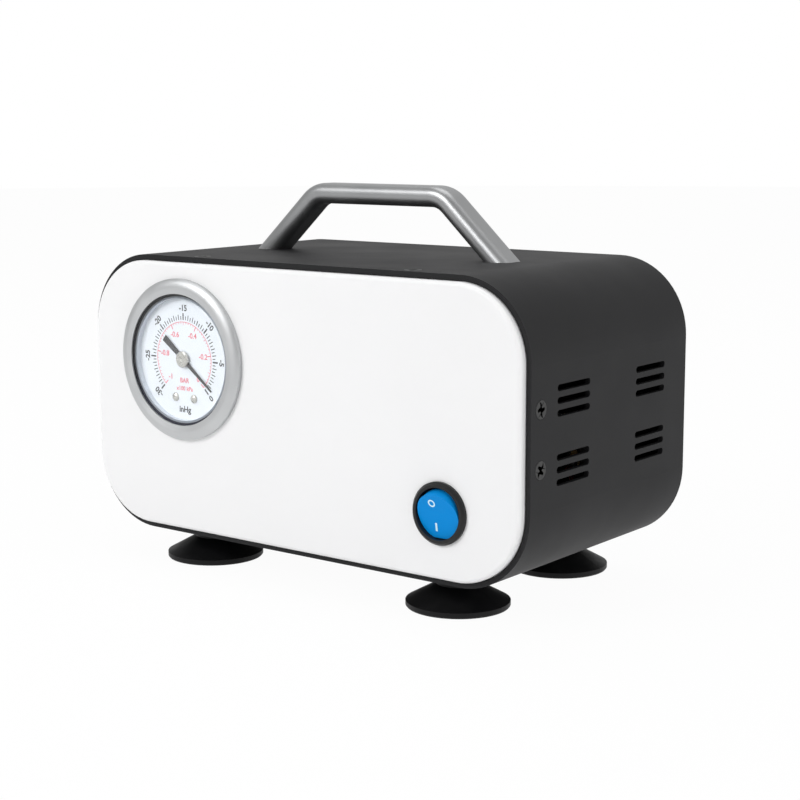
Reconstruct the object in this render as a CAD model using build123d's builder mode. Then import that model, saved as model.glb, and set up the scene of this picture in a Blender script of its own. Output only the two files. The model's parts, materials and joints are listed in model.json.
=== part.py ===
from build123d import *
import os
from math import atan2, cos, degrees, radians, sin, sqrt, tan

# Diaphragm vacuum pump: a portable bench pump in a rounded sheet-metal housing.
# Right is +X, the rear is +Y, up is +Z, the table is Z = 0 and the origin is the
# centre of the whole outline at table level.  All sizes are millimetres.

# ---- Housing ---------------------------------------------------------------
housing_width = 213.6       # outer width of the sleeve
housing_height = 111.5      # outer height of the sleeve
sleeve_depth = 108.6        # front edge to rear edge of the sleeve
sleeve_radius = 29.8        # outer corner radius of the sleeve
sleeve_wall = 2.0           # folded sheet steel
panel_gap = 0.3             # between the rim of an end panel and the sleeve
panel_proud = 3.0           # how far the front panel stands out of the sleeve
rear_panel_proud = 1.5
panel_thickness = 2.0
panel_edge_round = 1.6
rear_edge_round = 1.1
skirt_wall = 2.0            # rim of the front panel inside the sleeve
skirt_depth = 11.0          # from the sleeve's front edge
skirt_gap = 0.15

# ---- Ventilation slots, both sides -----------------------------------------
slot_length = 21.5
slot_height = 2.4
slot_pitch = 4.5
slots_per_group = 3
slot_group_pitch_y = 54.0
slot_group_pitch_z = 24.6

# ---- Panel screws (countersunk) --------------------------------------------
screw_radius = 1.5
screw_head_radius = 3.4
screw_length = 9.0
screw_clearance = 0.1
sink_angle = 90
side_screw_inset = 6.3      # from the sleeve's front edge
side_screw_pitch = 21.2
top_screw_inset = 6.0
top_screw_half_span = 52.0
pan_head_radius = 2.8
pan_head_height = 1.8
m3_nut_height = 2.4
boss_radius = 3.6
boss_length = 5.0
rear_screw_half_span = 70.0
rear_screw_rise = 7.5       # rear screws above / below the sleeve's inner face
tab_width = 13.0
tab_height = 12.0
tab_wall = 1.5
tab_foot = 9.0

# ---- Carry handle ----------------------------------------------------------
handle_base_half = 63.2     # outer half length where the legs meet the housing
handle_top_half = 32.9      # outer half length of the grip
handle_rise = 27.8
handle_bar_height = 8.2
handle_bar_depth = 12.4
handle_bar_round = 3.6
handle_bend_radius = 12.0
handle_from_front = 54.5
handle_screw_inset = 8.4    # from the outer foot of a leg
handle_screw_reach = 4.6
washer_radius = 4.5
washer_thickness = 0.8

# ---- Suction feet ----------------------------------------------------------
foot_height = 13.5
foot_radius = 19.6
foot_rim = 2.2
foot_hub_radius = 9.5
foot_hub_height = 3.0
foot_neck_radius = 8.2
foot_cavity = 2.2
foot_cavity_radius = 16.8
foot_half_span = 61.9
foot_front_inset = 20.4
foot_rear_inset = 19.2
stud_radius = 2.5
stud_sunk = 6.0
nut_height = 4.0
nut_across_flats = 8.0

# ---- Vacuum gauge ----------------------------------------------------------
gauge_side_margin = 19.3    # from the bezel to the side of the sleeve
gauge_top_margin = 8.3      # from the bezel to the top of the sleeve
bezel_overhang = 2.4        # over the gauge case
bezel_edge = 1.6
bezel_crest_inset = 1.2     # from the outside of the gauge case
bezel_lip_inset = 3.5
bezel_proud = 3.0
bezel_lip_drop = 0.4        # from the crest back to the inner lip
bezel_lip_wall = 0.6
bezel_crown = 0.35          # bulge of the rolled face
bezel_gap = 0.1
lens_gap = 0.2
lens_thickness = 1.4
case_radius = 29.6
case_wall = 1.2
case_depth = 26.0
case_gap = 0.15
seal_inset = 5.3            # from the outside of the gauge case
seal_length = 2.2
dial_thickness = 0.5
dial_screw_spread = 5.0
dial_screw_drop = 15.5
dial_screw_radius = 1.3
pointer_rest_angle = -38.0
pointer_reach = 19.0
pointer_tail = 12.9
pointer_tail_width = 2.7
pointer_root_width = 1.7
pointer_tip_width = 0.6
pointer_thickness = 0.25
pointer_lift = 0.45         # above the dial
hub_radius = 3.2
arbor_radius = 0.75
arbor_gap = 0.05

# ---- Gauge movement --------------------------------------------------------
gear_module = 0.4
pinion_teeth = 10
sector_full_teeth = 80
sector_first_tooth = -1
sector_last_tooth = 9
gear_width = 2.0
pinion_overhang = 0.6
plate_wall = 0.8
plate_gap = 4.6
plate_half_width = 4.2
movement_set_back = 2.4     # dial back to front plate
sector_rim = 2.2
sector_hub_radius = 2.6
sector_arbor_radius = 1.0
sector_tail = 5.5
sector_tail_angle = -50.0
sector_tail_width = 2.6
tooth_tip = 0.24
tooth_root = 0.62
post_spread = 4.5
post_rise = 4.0
post_radius = 1.3
tube_centre_radius = 22.6
tube_section_width = 5.0
tube_section_height = 2.0
tube_start_angle = -128.0
tube_end_angle = -42.0
link_pin_radius = 0.5
link_width = 2.6
link_wall = 0.6
link_travel = 3.4
link_slot_play = 0.6
socket_bar_width = 9.0
stem_radius = 5.0
stem_hex = 12.0
stem_hex_length = 5.0
clamp_width = 18.0
clamp_hole_radius = 7.4
clamp_wall = 1.5
clamp_half_span = 24.0

# ---- Rocker switch ---------------------------------------------------------
switch_x = 70.8
switch_above_base = 26.8
switch_bezel_radius = 11.5
switch_bezel_proud = 2.0
switch_bezel_round = 0.9
switch_body_radius = 9.9
switch_body_depth = 15.0
switch_hole_gap = 0.2
rocker_radius = 8.8
rocker_gap = 0.7
rocker_pivot_depth = 1.0    # behind the front face of the panel
rocker_tilt = 16.0
rocker_face = 3.4           # pivot to the front of the face
rocker_swing_radius = 9.1   # top and bottom ends, about the pivot
rocker_dish = 0.9
rocker_dish_radius = 40.0
rocker_skirt = 3.0
rocker_pin_radius = 1.2
rocker_pin_length = 1.0
switch_pocket_depth = 10.6  # behind the front face of the panel
switch_clip_length = 4.0
switch_clip_height = 0.9
switch_clip_width = 6.0
terminal_width = 6.3
terminal_wall = 0.8
terminal_length = 8.0
terminal_half_pitch = 4.6

# ---- Pump and motor --------------------------------------------------------
pump_from_front = 72.0
pump_x = 1.0
shaft_z = 48.0
pump_block = 44.0
pump_block_round = 4.0
crankcase_bottom = 26.0
crankcase_top = 72.0
crank_bore = 17.5
crank_end_wall = 6.0
neck_radius = 9.0
flex_radius = 14.5
flex_depth = 2.4
eccentric_throw = 1.5
eccentric_radius = 5.5
eccentric_width = 9.0
rod_bearing_radius = 8.5
rod_ring_radius = 11.0
rod_width = 8.0
rod_neck_half = 3.6
rod_pad_radius = 7.0
rod_pad_height = 3.0
counterweight_radius = 12.0
counterweight_width = 4.0
shaft_radius = 2.5
shaft_gap = 0.05
bush_radius = 5.0
diaphragm_radius = 20.5
diaphragm_thickness = 1.2
clamp_disc_radius = 9.0
clamp_disc_thickness = 1.4
valve_plate_height = 6.0
chamber_depth = 3.6
port_radius = 1.8
port_offset = 6.5
flap_radius = 3.6
flap_neck_width = 2.6
gasket_thickness = 0.8
head_height = 12.0
head_pocket_radius = 5.6
head_pocket_depth = 5.0
head_screw_half_pitch = 17.8
head_screw_length = 26.0
nozzle_radius = 2.4
nozzle_bore = 1.4
nozzle_length = 10.0
barb_swell = 0.25
motor_radius = 18.0
motor_wall = 1.0
motor_length = 52.0
motor_screw_offset = 12.5
magnet_inner_radius = 13.4
magnet_angle = 130.0
rotor_radius = 12.6
rotor_length = 28.0
rotor_slots = 5
commutator_radius = 4.2
commutator_length = 6.0
end_cap_height = 5.0
bracket_wall = 2.0
bracket_half_width = 33.0
bracket_length = 80.0
bracket_face_height = 44.0
mount_radius = 5.5
mount_half_pitch_y = 27.0
mount_front_x = -12.0
mount_pitch_x = 60.0

# ---- Rear fittings ---------------------------------------------------------
exhaust_x = 55.5            # exhaust barb; the vacuum barb stands behind the gauge
barb_reach = 22.0           # tip of a barb behind the rear panel
barb_radius = 3.2
barb_hex = 12.0
barb_hex_length = 5.0
barb_thread_radius = 4.0
barb_thread_length = 5.6
barb_nut_height = 2.8
tee_block = 9.0
hose_inner_radius = 2.75
hose_wall = 1.3
hose_grip = 7.0

# ---- Power inlet and board -------------------------------------------------
inlet_x = -66.0
inlet_above_base = 34.0
inlet_flange_width = 31.0
inlet_flange_height = 35.0
inlet_flange_wall = 2.6
inlet_body_width = 27.0
inlet_body_height = 31.0
inlet_body_depth = 22.0
inlet_round = 2.0
socket_width = 24.6
socket_height = 16.6
socket_chamfer = 5.0
socket_depth = 16.0
socket_rise = 5.6
pin_width = 2.0
pin_height = 4.0
pin_pitch = 14.0
pin_offset = 2.0
pin_length = 13.0
pin_tail = 7.0
drawer_drop = 9.9           # drawer centre below the inlet centre
drawer_front_width = 24.0
drawer_front_height = 8.6
drawer_front_wall = 1.6
drawer_width = 22.4
drawer_height = 7.0
drawer_depth = 14.0
drawer_gap = 0.2
fuse_radius = 2.5
fuse_length = 20.0
fuse_gap = 0.15
board_x = -54.5
board_from_front = 55.0
board_width = 46.0
board_depth = 46.0
board_thickness = 1.6
board_standoff = 8.0
standoff_radius = 2.6
block_depth = 10.0          # terminal blocks on the board
block_width = 8.0
block_height = 9.0
earth_pad_y = 15.6          # from the middle of the board, as the next ones are
mains_block_x = -18.5
mains_block_y = -10.0
output_block_x = 17.0
output_block_y = 8.0

# ---- Wiring ----------------------------------------------------------------
wire_radius = 0.8           # over its sleeve
wire_bend = 2.2
wire_gap = 0.3              # from a wire's end to its terminal
wire_spread = 2.0           # of two wires from the middle of a terminal block
wire_floor_rise = 4.0       # motor leads above the floor
switch_wire_back = 16.0     # switch leads turn this far behind the terminals

# ---- Places that follow from the sizes above -------------------------------
rocker_top_proud = (
    rocker_face * cos(radians(rocker_tilt))
    + sqrt(rocker_swing_radius**2 - rocker_face**2) * sin(radians(rocker_tilt))
    - rocker_pivot_depth
)
front_proud = panel_proud + max(bezel_proud, rocker_top_proud)
bezel_radius = case_radius + bezel_overhang
bezel_crest_radius = case_radius - bezel_crest_inset
bezel_lip_radius = case_radius - bezel_lip_inset
lens_radius = case_radius - case_wall - lens_gap
seal_inner_radius = case_radius - seal_inset
gauge_x = bezel_radius + gauge_side_margin - housing_width / 2
front_y = (front_proud - rear_panel_proud - sleeve_depth - barb_reach) / 2
rear_y = front_y + sleeve_depth
panel_front_y = front_y - panel_proud
rear_face_y = rear_y + rear_panel_proud
housing_z = foot_height + housing_height / 2
floor_z = foot_height + sleeve_wall
top_z = foot_height + housing_height
gauge_z = top_z - gauge_top_margin - bezel_radius
switch_z = foot_height + switch_above_base
inlet_z = foot_height + inlet_above_base
pump_y = front_y + pump_from_front
handle_y = front_y + handle_from_front


def front_plane(y, x=0.0, z=0.0):
    """Plane seen from the front: its X is +X, its Y is +Z and it faces -Y."""
    return Plane((x, y, z), x_dir=(1, 0, 0), z_dir=(0, -1, 0))


def rear_plane(y, x=0.0, z=0.0):
    """Plane seen from the rear: its X is -X, its Y is +Z and it faces +Y."""
    return Plane((x, y, z), x_dir=(-1, 0, 0), z_dir=(0, 1, 0))


def side_plane(x, y=0.0, z=0.0):
    """Plane seen from the right: its X is +Y, its Y is +Z and it faces +X."""
    return Plane((x, y, z), x_dir=(0, 1, 0), z_dir=(1, 0, 0))


def floor_plane(z, x=0.0, y=0.0):
    """Level plane at a height, with its own origin."""
    return Plane((x, y, z), x_dir=(1, 0, 0), z_dir=(0, 0, 1))


def finish(builder, label):
    """Name a finished piece and write its STEP file."""
    builder.part.label = label
    export_step(builder.part, f"parts/{label}.step")


def outline(inset, mode=Mode.ADD):
    """Rounded outline shared by the sleeve and both end panels."""
    return RectangleRounded(
        housing_width - 2 * inset,
        housing_height - 2 * inset,
        sleeve_radius - inset,
        mode=mode,
    )


def front_screw_places():
    """Where the front panel's screws enter the sleeve, +Z of each pointing outward."""
    places = []
    for side in (-1, 1):
        for rise in (-side_screw_pitch / 2, side_screw_pitch / 2):
            point = (side * housing_width / 2, front_y + side_screw_inset, housing_z + rise)
            places.append(Plane(point, z_dir=(side, 0, 0)).location)
        for face in (-1, 1):
            point = (
                side * top_screw_half_span,
                front_y + top_screw_inset,
                housing_z + face * housing_height / 2,
            )
            places.append(Plane(point, z_dir=(0, 0, face)).location)
    return places


def rear_screw_places():
    """Where the rear panel's screws enter it, +Z of each pointing backward."""
    rise = housing_height / 2 - sleeve_wall - rear_screw_rise
    return [
        rear_plane(rear_face_y, side * rear_screw_half_span, housing_z + face * rise).location
        for side in (-1, 1)
        for face in (-1, 1)
    ]


def foot_places(z):
    """The four foot centres at a height."""
    rows = (front_y + foot_front_inset, rear_y - foot_rear_inset)
    return [Location((side * foot_half_span, y, z)) for side in (-1, 1) for y in rows]


def mount_places(z):
    """The four rubber mounts of the pump bracket at a height."""
    return [
        Location((x, pump_y + side * mount_half_pitch_y, z))
        for x in (mount_front_x, mount_front_x + mount_pitch_x)
        for side in (-1, 1)
    ]


def handle_screw_places(z):
    """The two handle screws at a height."""
    x = handle_base_half - handle_screw_inset
    return [Location((side * x, handle_y, z)) for side in (-1, 1)]


def standoff_places(z):
    """The four corners of the power board at a height."""
    half_x = board_width / 2 - 4
    half_y = board_depth / 2 - 4
    board_y = front_y + board_from_front
    return [
        Location((board_x + sx * half_x, board_y + sy * half_y, z))
        for sx in (-1, 1)
        for sy in (-1, 1)
    ]


def upward(places):
    """The same places turned over, so that what points down there points up."""
    return [place * Location((0, 0, 0), (180, 0, 0)) for place in places]


def countersunk_screw(length):
    """Countersunk screw along -Z, its flat head level with Z = 0."""
    slope = (screw_head_radius - screw_radius) / tan(radians(sink_angle / 2))
    with BuildPart() as screw:
        with BuildSketch(Plane.XZ):
            with BuildLine():
                Polyline(
                    (0, 0),
                    (screw_head_radius, 0),
                    (screw_radius, -slope),
                    (screw_radius, -length),
                    (0, -length),
                    close=True,
                )
            make_face()
        revolve(axis=Axis.Z)
    return screw.part


def m3_screw(length):
    """M3 pan head screw along -Z, the underside of its head at Z = 0."""
    with BuildPart() as screw:
        with BuildSketch(Plane.XZ):
            with BuildLine():
                Polyline(
                    (0, pan_head_height),
                    (pan_head_radius * 0.7, pan_head_height),
                    (pan_head_radius, pan_head_height * 0.4),
                    (pan_head_radius, 0),
                    (screw_radius, 0),
                    (screw_radius, -length),
                    (0, -length),
                    close=True,
                )
            make_face()
        revolve(axis=Axis.Z)
    return screw.part


def hex_nut(across_flats, height, hole):
    """Hexagon nut standing on Z = 0."""
    with BuildPart() as nut:
        with BuildSketch():
            RegularPolygon(across_flats / 2, 6, major_radius=False)
            Circle(hole, mode=Mode.SUBTRACT)
        extrude(amount=height)
    return nut.part


def hose_nozzle():
    """Barbed hose nozzle standing on Z = 0."""
    barb = nozzle_radius + barb_swell
    with BuildPart() as nozzle:
        with BuildSketch(Plane.XZ):
            with BuildLine():
                Polyline(
                    (nozzle_bore, 0),
                    (nozzle_radius, 0),
                    (nozzle_radius, nozzle_length * 0.4),
                    (barb, nozzle_length * 0.4),
                    (nozzle_radius, nozzle_length * 0.7),
                    (barb, nozzle_length * 0.7),
                    (nozzle_radius, nozzle_length),
                    (nozzle_bore, nozzle_length),
                    close=True,
                )
            make_face()
        revolve(axis=Axis.Z)
    return nozzle.part


# ============================================================================
# Housing
# ============================================================================
def make_sleeve():
    with BuildPart() as housing_sleeve:
        with BuildSketch(front_plane(front_y, 0, housing_z)):
            outline(0)
            outline(sleeve_wall, mode=Mode.SUBTRACT)
        extrude(amount=-sleeve_depth)
        # welded corner tabs that take the rear panel's screws
        tab_face_y = rear_face_y - panel_thickness
        for face in (-1, 1):
            inner_z = housing_z + face * (housing_height / 2 - sleeve_wall)
            for side in (-1, 1):
                tab_x = side * rear_screw_half_span
                with BuildSketch(side_plane(tab_x - tab_width / 2, tab_face_y, inner_z)):
                    with BuildLine():
                        Polyline(
                            (0, 0),
                            (0, -face * tab_height),
                            (-tab_wall, -face * tab_height),
                            (-tab_wall, -face * tab_wall),
                            (-tab_foot, -face * tab_wall),
                            (-tab_foot, 0),
                            close=True,
                        )
                    make_face()
                extrude(amount=tab_width)
        # ventilation slots through both side walls
        with BuildSketch(side_plane(housing_width / 2, front_y + sleeve_depth / 2, housing_z)):
            with GridLocations(slot_group_pitch_y, slot_group_pitch_z, 2, 2):
                with GridLocations(0, slot_pitch, 1, slots_per_group):
                    SlotOverall(slot_length, slot_height)
        extrude(amount=-housing_width, mode=Mode.SUBTRACT)
        with Locations(*front_screw_places()):
            CounterSinkHole(
                screw_radius + screw_clearance,
                screw_head_radius + screw_clearance,
                depth=2 * sleeve_wall,
                counter_sink_angle=sink_angle,
            )
        with Locations(*rear_screw_places()):
            Hole(screw_radius + screw_clearance, depth=2 * tab_foot)
        with Locations(*foot_places(floor_z)):
            Hole(stud_radius + screw_clearance, depth=2 * sleeve_wall)
        with Locations(*mount_places(floor_z), *standoff_places(floor_z)):
            Hole(screw_radius + screw_clearance, depth=2 * sleeve_wall)
        with Locations(*handle_screw_places(top_z)):
            Hole(screw_radius + screw_clearance, depth=2 * sleeve_wall)
    finish(housing_sleeve, "housing_sleeve")


def make_front_panel():
    rim = sleeve_wall + panel_gap
    inner_y = panel_front_y + panel_thickness
    with BuildPart() as front_panel:
        with BuildSketch(front_plane(inner_y, 0, housing_z)):
            outline(rim)
        extrude(amount=panel_thickness)
        front_edges = front_panel.faces().sort_by(Axis.Y)[0].edges()
        fillet(front_edges, radius=panel_edge_round)
        # rim that slides into the sleeve, with a boss behind each screw
        with BuildSketch(front_plane(inner_y, 0, housing_z)):
            outline(rim)
            outline(rim + skirt_wall, mode=Mode.SUBTRACT)
        extrude(amount=-(front_y + skirt_depth - inner_y))
        for place in front_screw_places():
            with BuildSketch(Plane(place).offset(-rim - skirt_wall)):
                Circle(boss_radius)
            extrude(amount=-boss_length)
        with BuildSketch(front_plane(panel_front_y, 0, 0)):
            with Locations((gauge_x, gauge_z)):
                Circle(case_radius + case_gap)
            with Locations((switch_x, switch_z)):
                Circle(switch_body_radius + switch_hole_gap)
        extrude(amount=-2 * panel_thickness, mode=Mode.SUBTRACT)
        with Locations(*front_screw_places()):
            CounterSinkHole(
                screw_radius + screw_clearance,
                screw_head_radius + screw_clearance,
                depth=screw_length + 1,
                counter_sink_angle=sink_angle,
            )
    finish(front_panel, "front_panel")


def make_front_panel_screws():
    screw = countersunk_screw(screw_length)
    with BuildPart() as front_panel_screws:
        with Locations(*front_screw_places()):
            add(screw)
    finish(front_panel_screws, "front_panel_screws")


def make_rear_panel():
    barb_hole = barb_thread_radius + screw_clearance
    with BuildPart() as rear_panel:
        with BuildSketch(rear_plane(rear_face_y - panel_thickness, 0, housing_z)):
            outline(sleeve_wall + panel_gap)
        extrude(amount=panel_thickness)
        rear_edges = rear_panel.faces().sort_by(Axis.Y)[-1].edges()
        fillet(rear_edges, radius=rear_edge_round)
        with BuildSketch(front_plane(rear_face_y)):
            with Locations((gauge_x, gauge_z), (exhaust_x, gauge_z)):
                Circle(barb_hole)
            with Locations((inlet_x, inlet_z)):
                RectangleRounded(
                    inlet_body_width + 2 * drawer_gap,
                    inlet_body_height + 2 * drawer_gap,
                    inlet_round,
                )
        extrude(amount=2 * panel_thickness, mode=Mode.SUBTRACT)
        with Locations(*rear_screw_places()):
            Hole(screw_radius + screw_clearance, depth=2 * panel_thickness)
    finish(rear_panel, "rear_panel")


def make_rear_panel_screws():
    screw = m3_screw(screw_length)
    with BuildPart() as rear_panel_screws:
        with Locations(*rear_screw_places()):
            add(screw)
    finish(rear_panel_screws, "rear_panel_screws")


def make_handle():
    rise = handle_rise - handle_bar_height / 2
    slope = atan2(handle_rise, handle_base_half - handle_top_half)
    base = handle_base_half - handle_bar_height / 2 / sin(slope)
    shoulder = handle_top_half - handle_bar_height / 2 * tan(slope / 2)
    sunk = handle_bar_height
    foot = base + sunk / tan(slope)
    with BuildPart() as carry_handle:
        with BuildLine(front_plane(handle_y, 0, top_z)) as path:
            FilletPolyline(
                (-foot, -sunk),
                (-shoulder, rise),
                (shoulder, rise),
                (foot, -sunk),
                radius=handle_bend_radius,
            )
        section_plane = Plane(path.line @ 0, x_dir=(0, 1, 0), z_dir=path.line % 0)
        with BuildSketch(section_plane):
            RectangleRounded(handle_bar_depth, handle_bar_height, handle_bar_round)
        sweep()
        # the legs are cut level where they stand on the housing
        split(bisect_by=Plane.XY.offset(top_z), keep=Keep.TOP)
        with BuildSketch(Plane.XY.offset(top_z)):
            with Locations(*handle_screw_places(0)):
                Circle(screw_radius + screw_clearance)
        extrude(amount=handle_screw_reach + screw_clearance, mode=Mode.SUBTRACT)
    finish(carry_handle, "carry_handle")


def make_feet():
    neck_z = foot_height - foot_hub_height
    with BuildPart() as foot:
        with BuildSketch(Plane.XZ):
            with BuildLine():
                Polyline(
                    (0, foot_cavity),
                    (foot_cavity_radius - 5 * foot_cavity, foot_cavity),
                    (foot_cavity_radius, 0),
                    (foot_radius - 0.4, 0),
                    (foot_radius, 0.5),
                    (foot_radius, foot_rim),
                    (foot_neck_radius, neck_z - 2),
                    (foot_neck_radius, neck_z),
                    (foot_hub_radius, neck_z),
                    (foot_hub_radius, foot_height),
                    (stud_radius, foot_height),
                    (stud_radius, foot_height - stud_sunk),
                    (0, foot_height - stud_sunk),
                    close=True,
                )
            make_face()
        revolve(axis=Axis.Z)
    with BuildPart() as suction_feet:
        with Locations(*foot_places(0)):
            add(foot.part)
    finish(suction_feet, "suction_feet")

    nut = hex_nut(nut_across_flats, nut_height, stud_radius + shaft_gap)
    with BuildPart() as foot_fixings:
        with BuildSketch(Plane.XY.offset(foot_height - stud_sunk)):
            with Locations(*foot_places(0)):
                Circle(stud_radius)
        extrude(amount=stud_sunk + sleeve_wall + nut_height + 1)
        with Locations(*foot_places(floor_z)):
            add(nut)
    finish(foot_fixings, "foot_fixings")


# ============================================================================
# Vacuum gauge.  Depths are counted backward from the front face of the panel.
# ============================================================================
gauge_axis = Axis((gauge_x, 0, gauge_z), (0, 1, 0))
lip_depth = bezel_lip_drop - bezel_proud
lens_depth = lip_depth + bezel_lip_wall
seal_depth = lens_depth + lens_thickness
dial_depth = seal_depth + seal_length
dial_back = dial_depth + dial_thickness
front_plate_depth = dial_back + movement_set_back
back_plate_depth = front_plate_depth + plate_wall + plate_gap
socket_depth_start = back_plate_depth + plate_wall
gear_depth = front_plate_depth + plate_wall + (plate_gap - gear_width) / 2
link_depth = gear_depth + gear_width + 0.2
tube_depth = socket_depth_start + tube_section_width / 2 + 0.6
pinion_radius = gear_module * pinion_teeth / 2
sector_radius = gear_module * sector_full_teeth / 2
sector_drop = pinion_radius + sector_radius
tail_point = (
    sector_tail * cos(radians(sector_tail_angle)),
    sector_tail * sin(radians(sector_tail_angle)) - sector_drop,
)
tip_point = (
    tube_centre_radius * cos(radians(tube_end_angle)),
    tube_centre_radius * sin(radians(tube_end_angle)),
)
link_angle = degrees(atan2(tip_point[1] - tail_point[1], tip_point[0] - tail_point[0]))
link_length = ((tip_point[0] - tail_point[0]) ** 2 + (tip_point[1] - tail_point[1]) ** 2) ** 0.5


def gauge_profile_plane(angle=0.0):
    """Half-section plane of the gauge at an angle: X is the radius, Y is the depth."""
    outward = (cos(radians(angle)), 0, sin(radians(angle)))
    across = (-sin(radians(angle)), 0, cos(radians(angle)))
    return Plane((gauge_x, panel_front_y, gauge_z), x_dir=outward, z_dir=across)


def gauge_plane(depth):
    """Plane across the gauge axis at a depth, seen from the front."""
    return front_plane(panel_front_y + depth, gauge_x, gauge_z)


def turned_plane(y, x, z, angle):
    """Plane seen from the front with its X turned upward by an angle."""
    outward = (cos(radians(angle)), 0, sin(radians(angle)))
    return Plane((x, y, z), x_dir=outward, z_dir=(0, -1, 0))


def turned_gauge_plane(depth, angle):
    """Plane across the gauge axis with its X turned to an angle."""
    return turned_plane(panel_front_y + depth, gauge_x, gauge_z, angle)


def at_angle(radius, angle):
    """Point at a radius and an angle in degrees."""
    return (radius * cos(radians(angle)), radius * sin(radians(angle)))


def make_gauge_bezel():
    lens_bore = lens_radius + bezel_gap
    case_bore = case_radius + bezel_gap
    middle = ((bezel_radius + bezel_crest_radius) / 2, -(bezel_edge + bezel_proud) / 2)
    with BuildPart() as gauge_bezel:
        with BuildSketch(gauge_profile_plane()):
            with BuildLine():
                Polyline(
                    (bezel_crest_radius, -bezel_proud),
                    (bezel_lip_radius, lip_depth),
                    (bezel_lip_radius, lens_depth),
                    (lens_bore, lens_depth),
                    (lens_bore, seal_depth),
                    (case_bore, seal_depth),
                    (case_bore, 0),
                    (bezel_radius, 0),
                    (bezel_radius, -bezel_edge),
                )
                ThreePointArc(
                    (bezel_radius, -bezel_edge),
                    (middle[0] + bezel_crown / 2, middle[1] - bezel_crown),
                    (bezel_crest_radius, -bezel_proud),
                )
            make_face()
        revolve(axis=gauge_axis)
    finish(gauge_bezel, "gauge_bezel")


def make_gauge_lens():
    with BuildPart() as gauge_lens:
        with BuildSketch(gauge_plane(lens_depth)):
            Circle(lens_radius)
        extrude(amount=-lens_thickness)
    finish(gauge_lens, "gauge_lens")

    with BuildPart() as gauge_seal:
        with BuildSketch(gauge_plane(seal_depth)):
            Circle(lens_radius)
            Circle(seal_inner_radius, mode=Mode.SUBTRACT)
        extrude(amount=-seal_length)
    finish(gauge_seal, "gauge_seal")


def make_gauge_case():
    inner = case_radius - case_wall
    with BuildPart() as gauge_case:
        with BuildSketch(gauge_profile_plane()):
            with BuildLine():
                Polyline(
                    (inner, seal_depth),
                    (case_radius, seal_depth),
                    (case_radius, case_depth),
                    (stem_radius + bezel_gap, case_depth),
                    (stem_radius + bezel_gap, case_depth - case_wall),
                    (inner, case_depth - case_wall),
                    close=True,
                )
            make_face()
        revolve(axis=gauge_axis)
        # welded studs of the clamp
        with BuildSketch(gauge_plane(case_depth)):
            with Locations((-clamp_half_span, 0), (clamp_half_span, 0)):
                Circle(screw_radius)
        extrude(amount=-(clamp_wall + m3_nut_height + 1))
    finish(gauge_case, "gauge_case")


def make_gauge_dial():
    screws = [(side * dial_screw_spread, -dial_screw_drop) for side in (-1, 1)]
    thread = dial_screw_radius * 0.6
    with BuildPart() as gauge_dial:
        with BuildSketch(gauge_plane(dial_depth)):
            Circle(lens_radius)
            Circle(2 * arbor_radius, mode=Mode.SUBTRACT)
            with Locations(*screws):
                Circle(thread + arbor_gap, mode=Mode.SUBTRACT)
        extrude(amount=-dial_thickness)
    finish(gauge_dial, "gauge_dial")

    with BuildPart() as dial_screws:
        with BuildSketch(gauge_plane(dial_depth)):
            with Locations(*screws):
                Circle(dial_screw_radius)
        extrude(amount=0.6)
        with BuildSketch(gauge_plane(dial_depth)):
            with Locations(*screws):
                Circle(thread)
        extrude(amount=-(dial_thickness + movement_set_back))
    finish(dial_screws, "dial_screws")


def make_pointer():
    pointer_back = dial_depth - pointer_lift
    pointer_front = pointer_back - pointer_thickness
    turned = turned_gauge_plane(pointer_back, pointer_rest_angle)
    with BuildPart() as gauge_pointer:
        with BuildSketch(turned):
            Polygon(
                (-pointer_tail, pointer_tail_width / 2),
                (-pointer_tail, -pointer_tail_width / 2),
                (0, -pointer_root_width / 2),
                (pointer_reach, -pointer_tip_width / 2),
                (pointer_reach, pointer_tip_width / 2),
                (0, pointer_root_width / 2),
                align=None,
            )
            Circle(hub_radius * 0.8)
            Circle(arbor_radius, mode=Mode.SUBTRACT)
        extrude(amount=pointer_thickness)
    finish(gauge_pointer, "gauge_pointer")

    hub_front = seal_depth + 0.5
    with BuildPart() as pointer_hub:
        with BuildSketch(gauge_profile_plane()):
            with BuildLine():
                Polyline(
                    (0, hub_front + 0.3),
                    (1.1, hub_front),
                    (hub_radius - 0.4, hub_front),
                    (hub_radius, hub_front + 0.3),
                    (hub_radius, pointer_front),
                    (arbor_radius, pointer_front),
                    (arbor_radius, socket_depth_start),
                    (0, socket_depth_start),
                    close=True,
                )
            make_face()
        revolve(axis=gauge_axis)
    finish(pointer_hub, "pointer_hub")


def gear_teeth(root_radius, tip_radius, angles):
    """Tapered teeth standing on a root circle, added to the open sketch."""
    for angle in angles:
        with Locations(Location((0, 0, 0), (0, 0, angle - 90))):
            Polygon(
                (-tooth_root / 2, root_radius - gear_module / 4),
                (tooth_root / 2, root_radius - gear_module / 4),
                (tooth_tip / 2, tip_radius),
                (-tooth_tip / 2, tip_radius),
                align=None,
            )


def make_pinion():
    step = 360 / pinion_teeth
    angles = [-90 + step / 2 + index * step for index in range(pinion_teeth)]
    with BuildPart() as gauge_pinion:
        with BuildSketch(gauge_plane(gear_depth - pinion_overhang)):
            Circle(pinion_radius - 1.25 * gear_module)
            gear_teeth(pinion_radius - 1.25 * gear_module, pinion_radius + gear_module, angles)
            Circle(arbor_radius, mode=Mode.SUBTRACT)
        extrude(amount=-(gear_width + 2 * pinion_overhang))
    finish(gauge_pinion, "gauge_pinion")


def sector_plane(depth):
    """Plane across the sector's pivot at a depth, seen from the front."""
    return front_plane(panel_front_y + depth, gauge_x, gauge_z - sector_drop)


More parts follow.
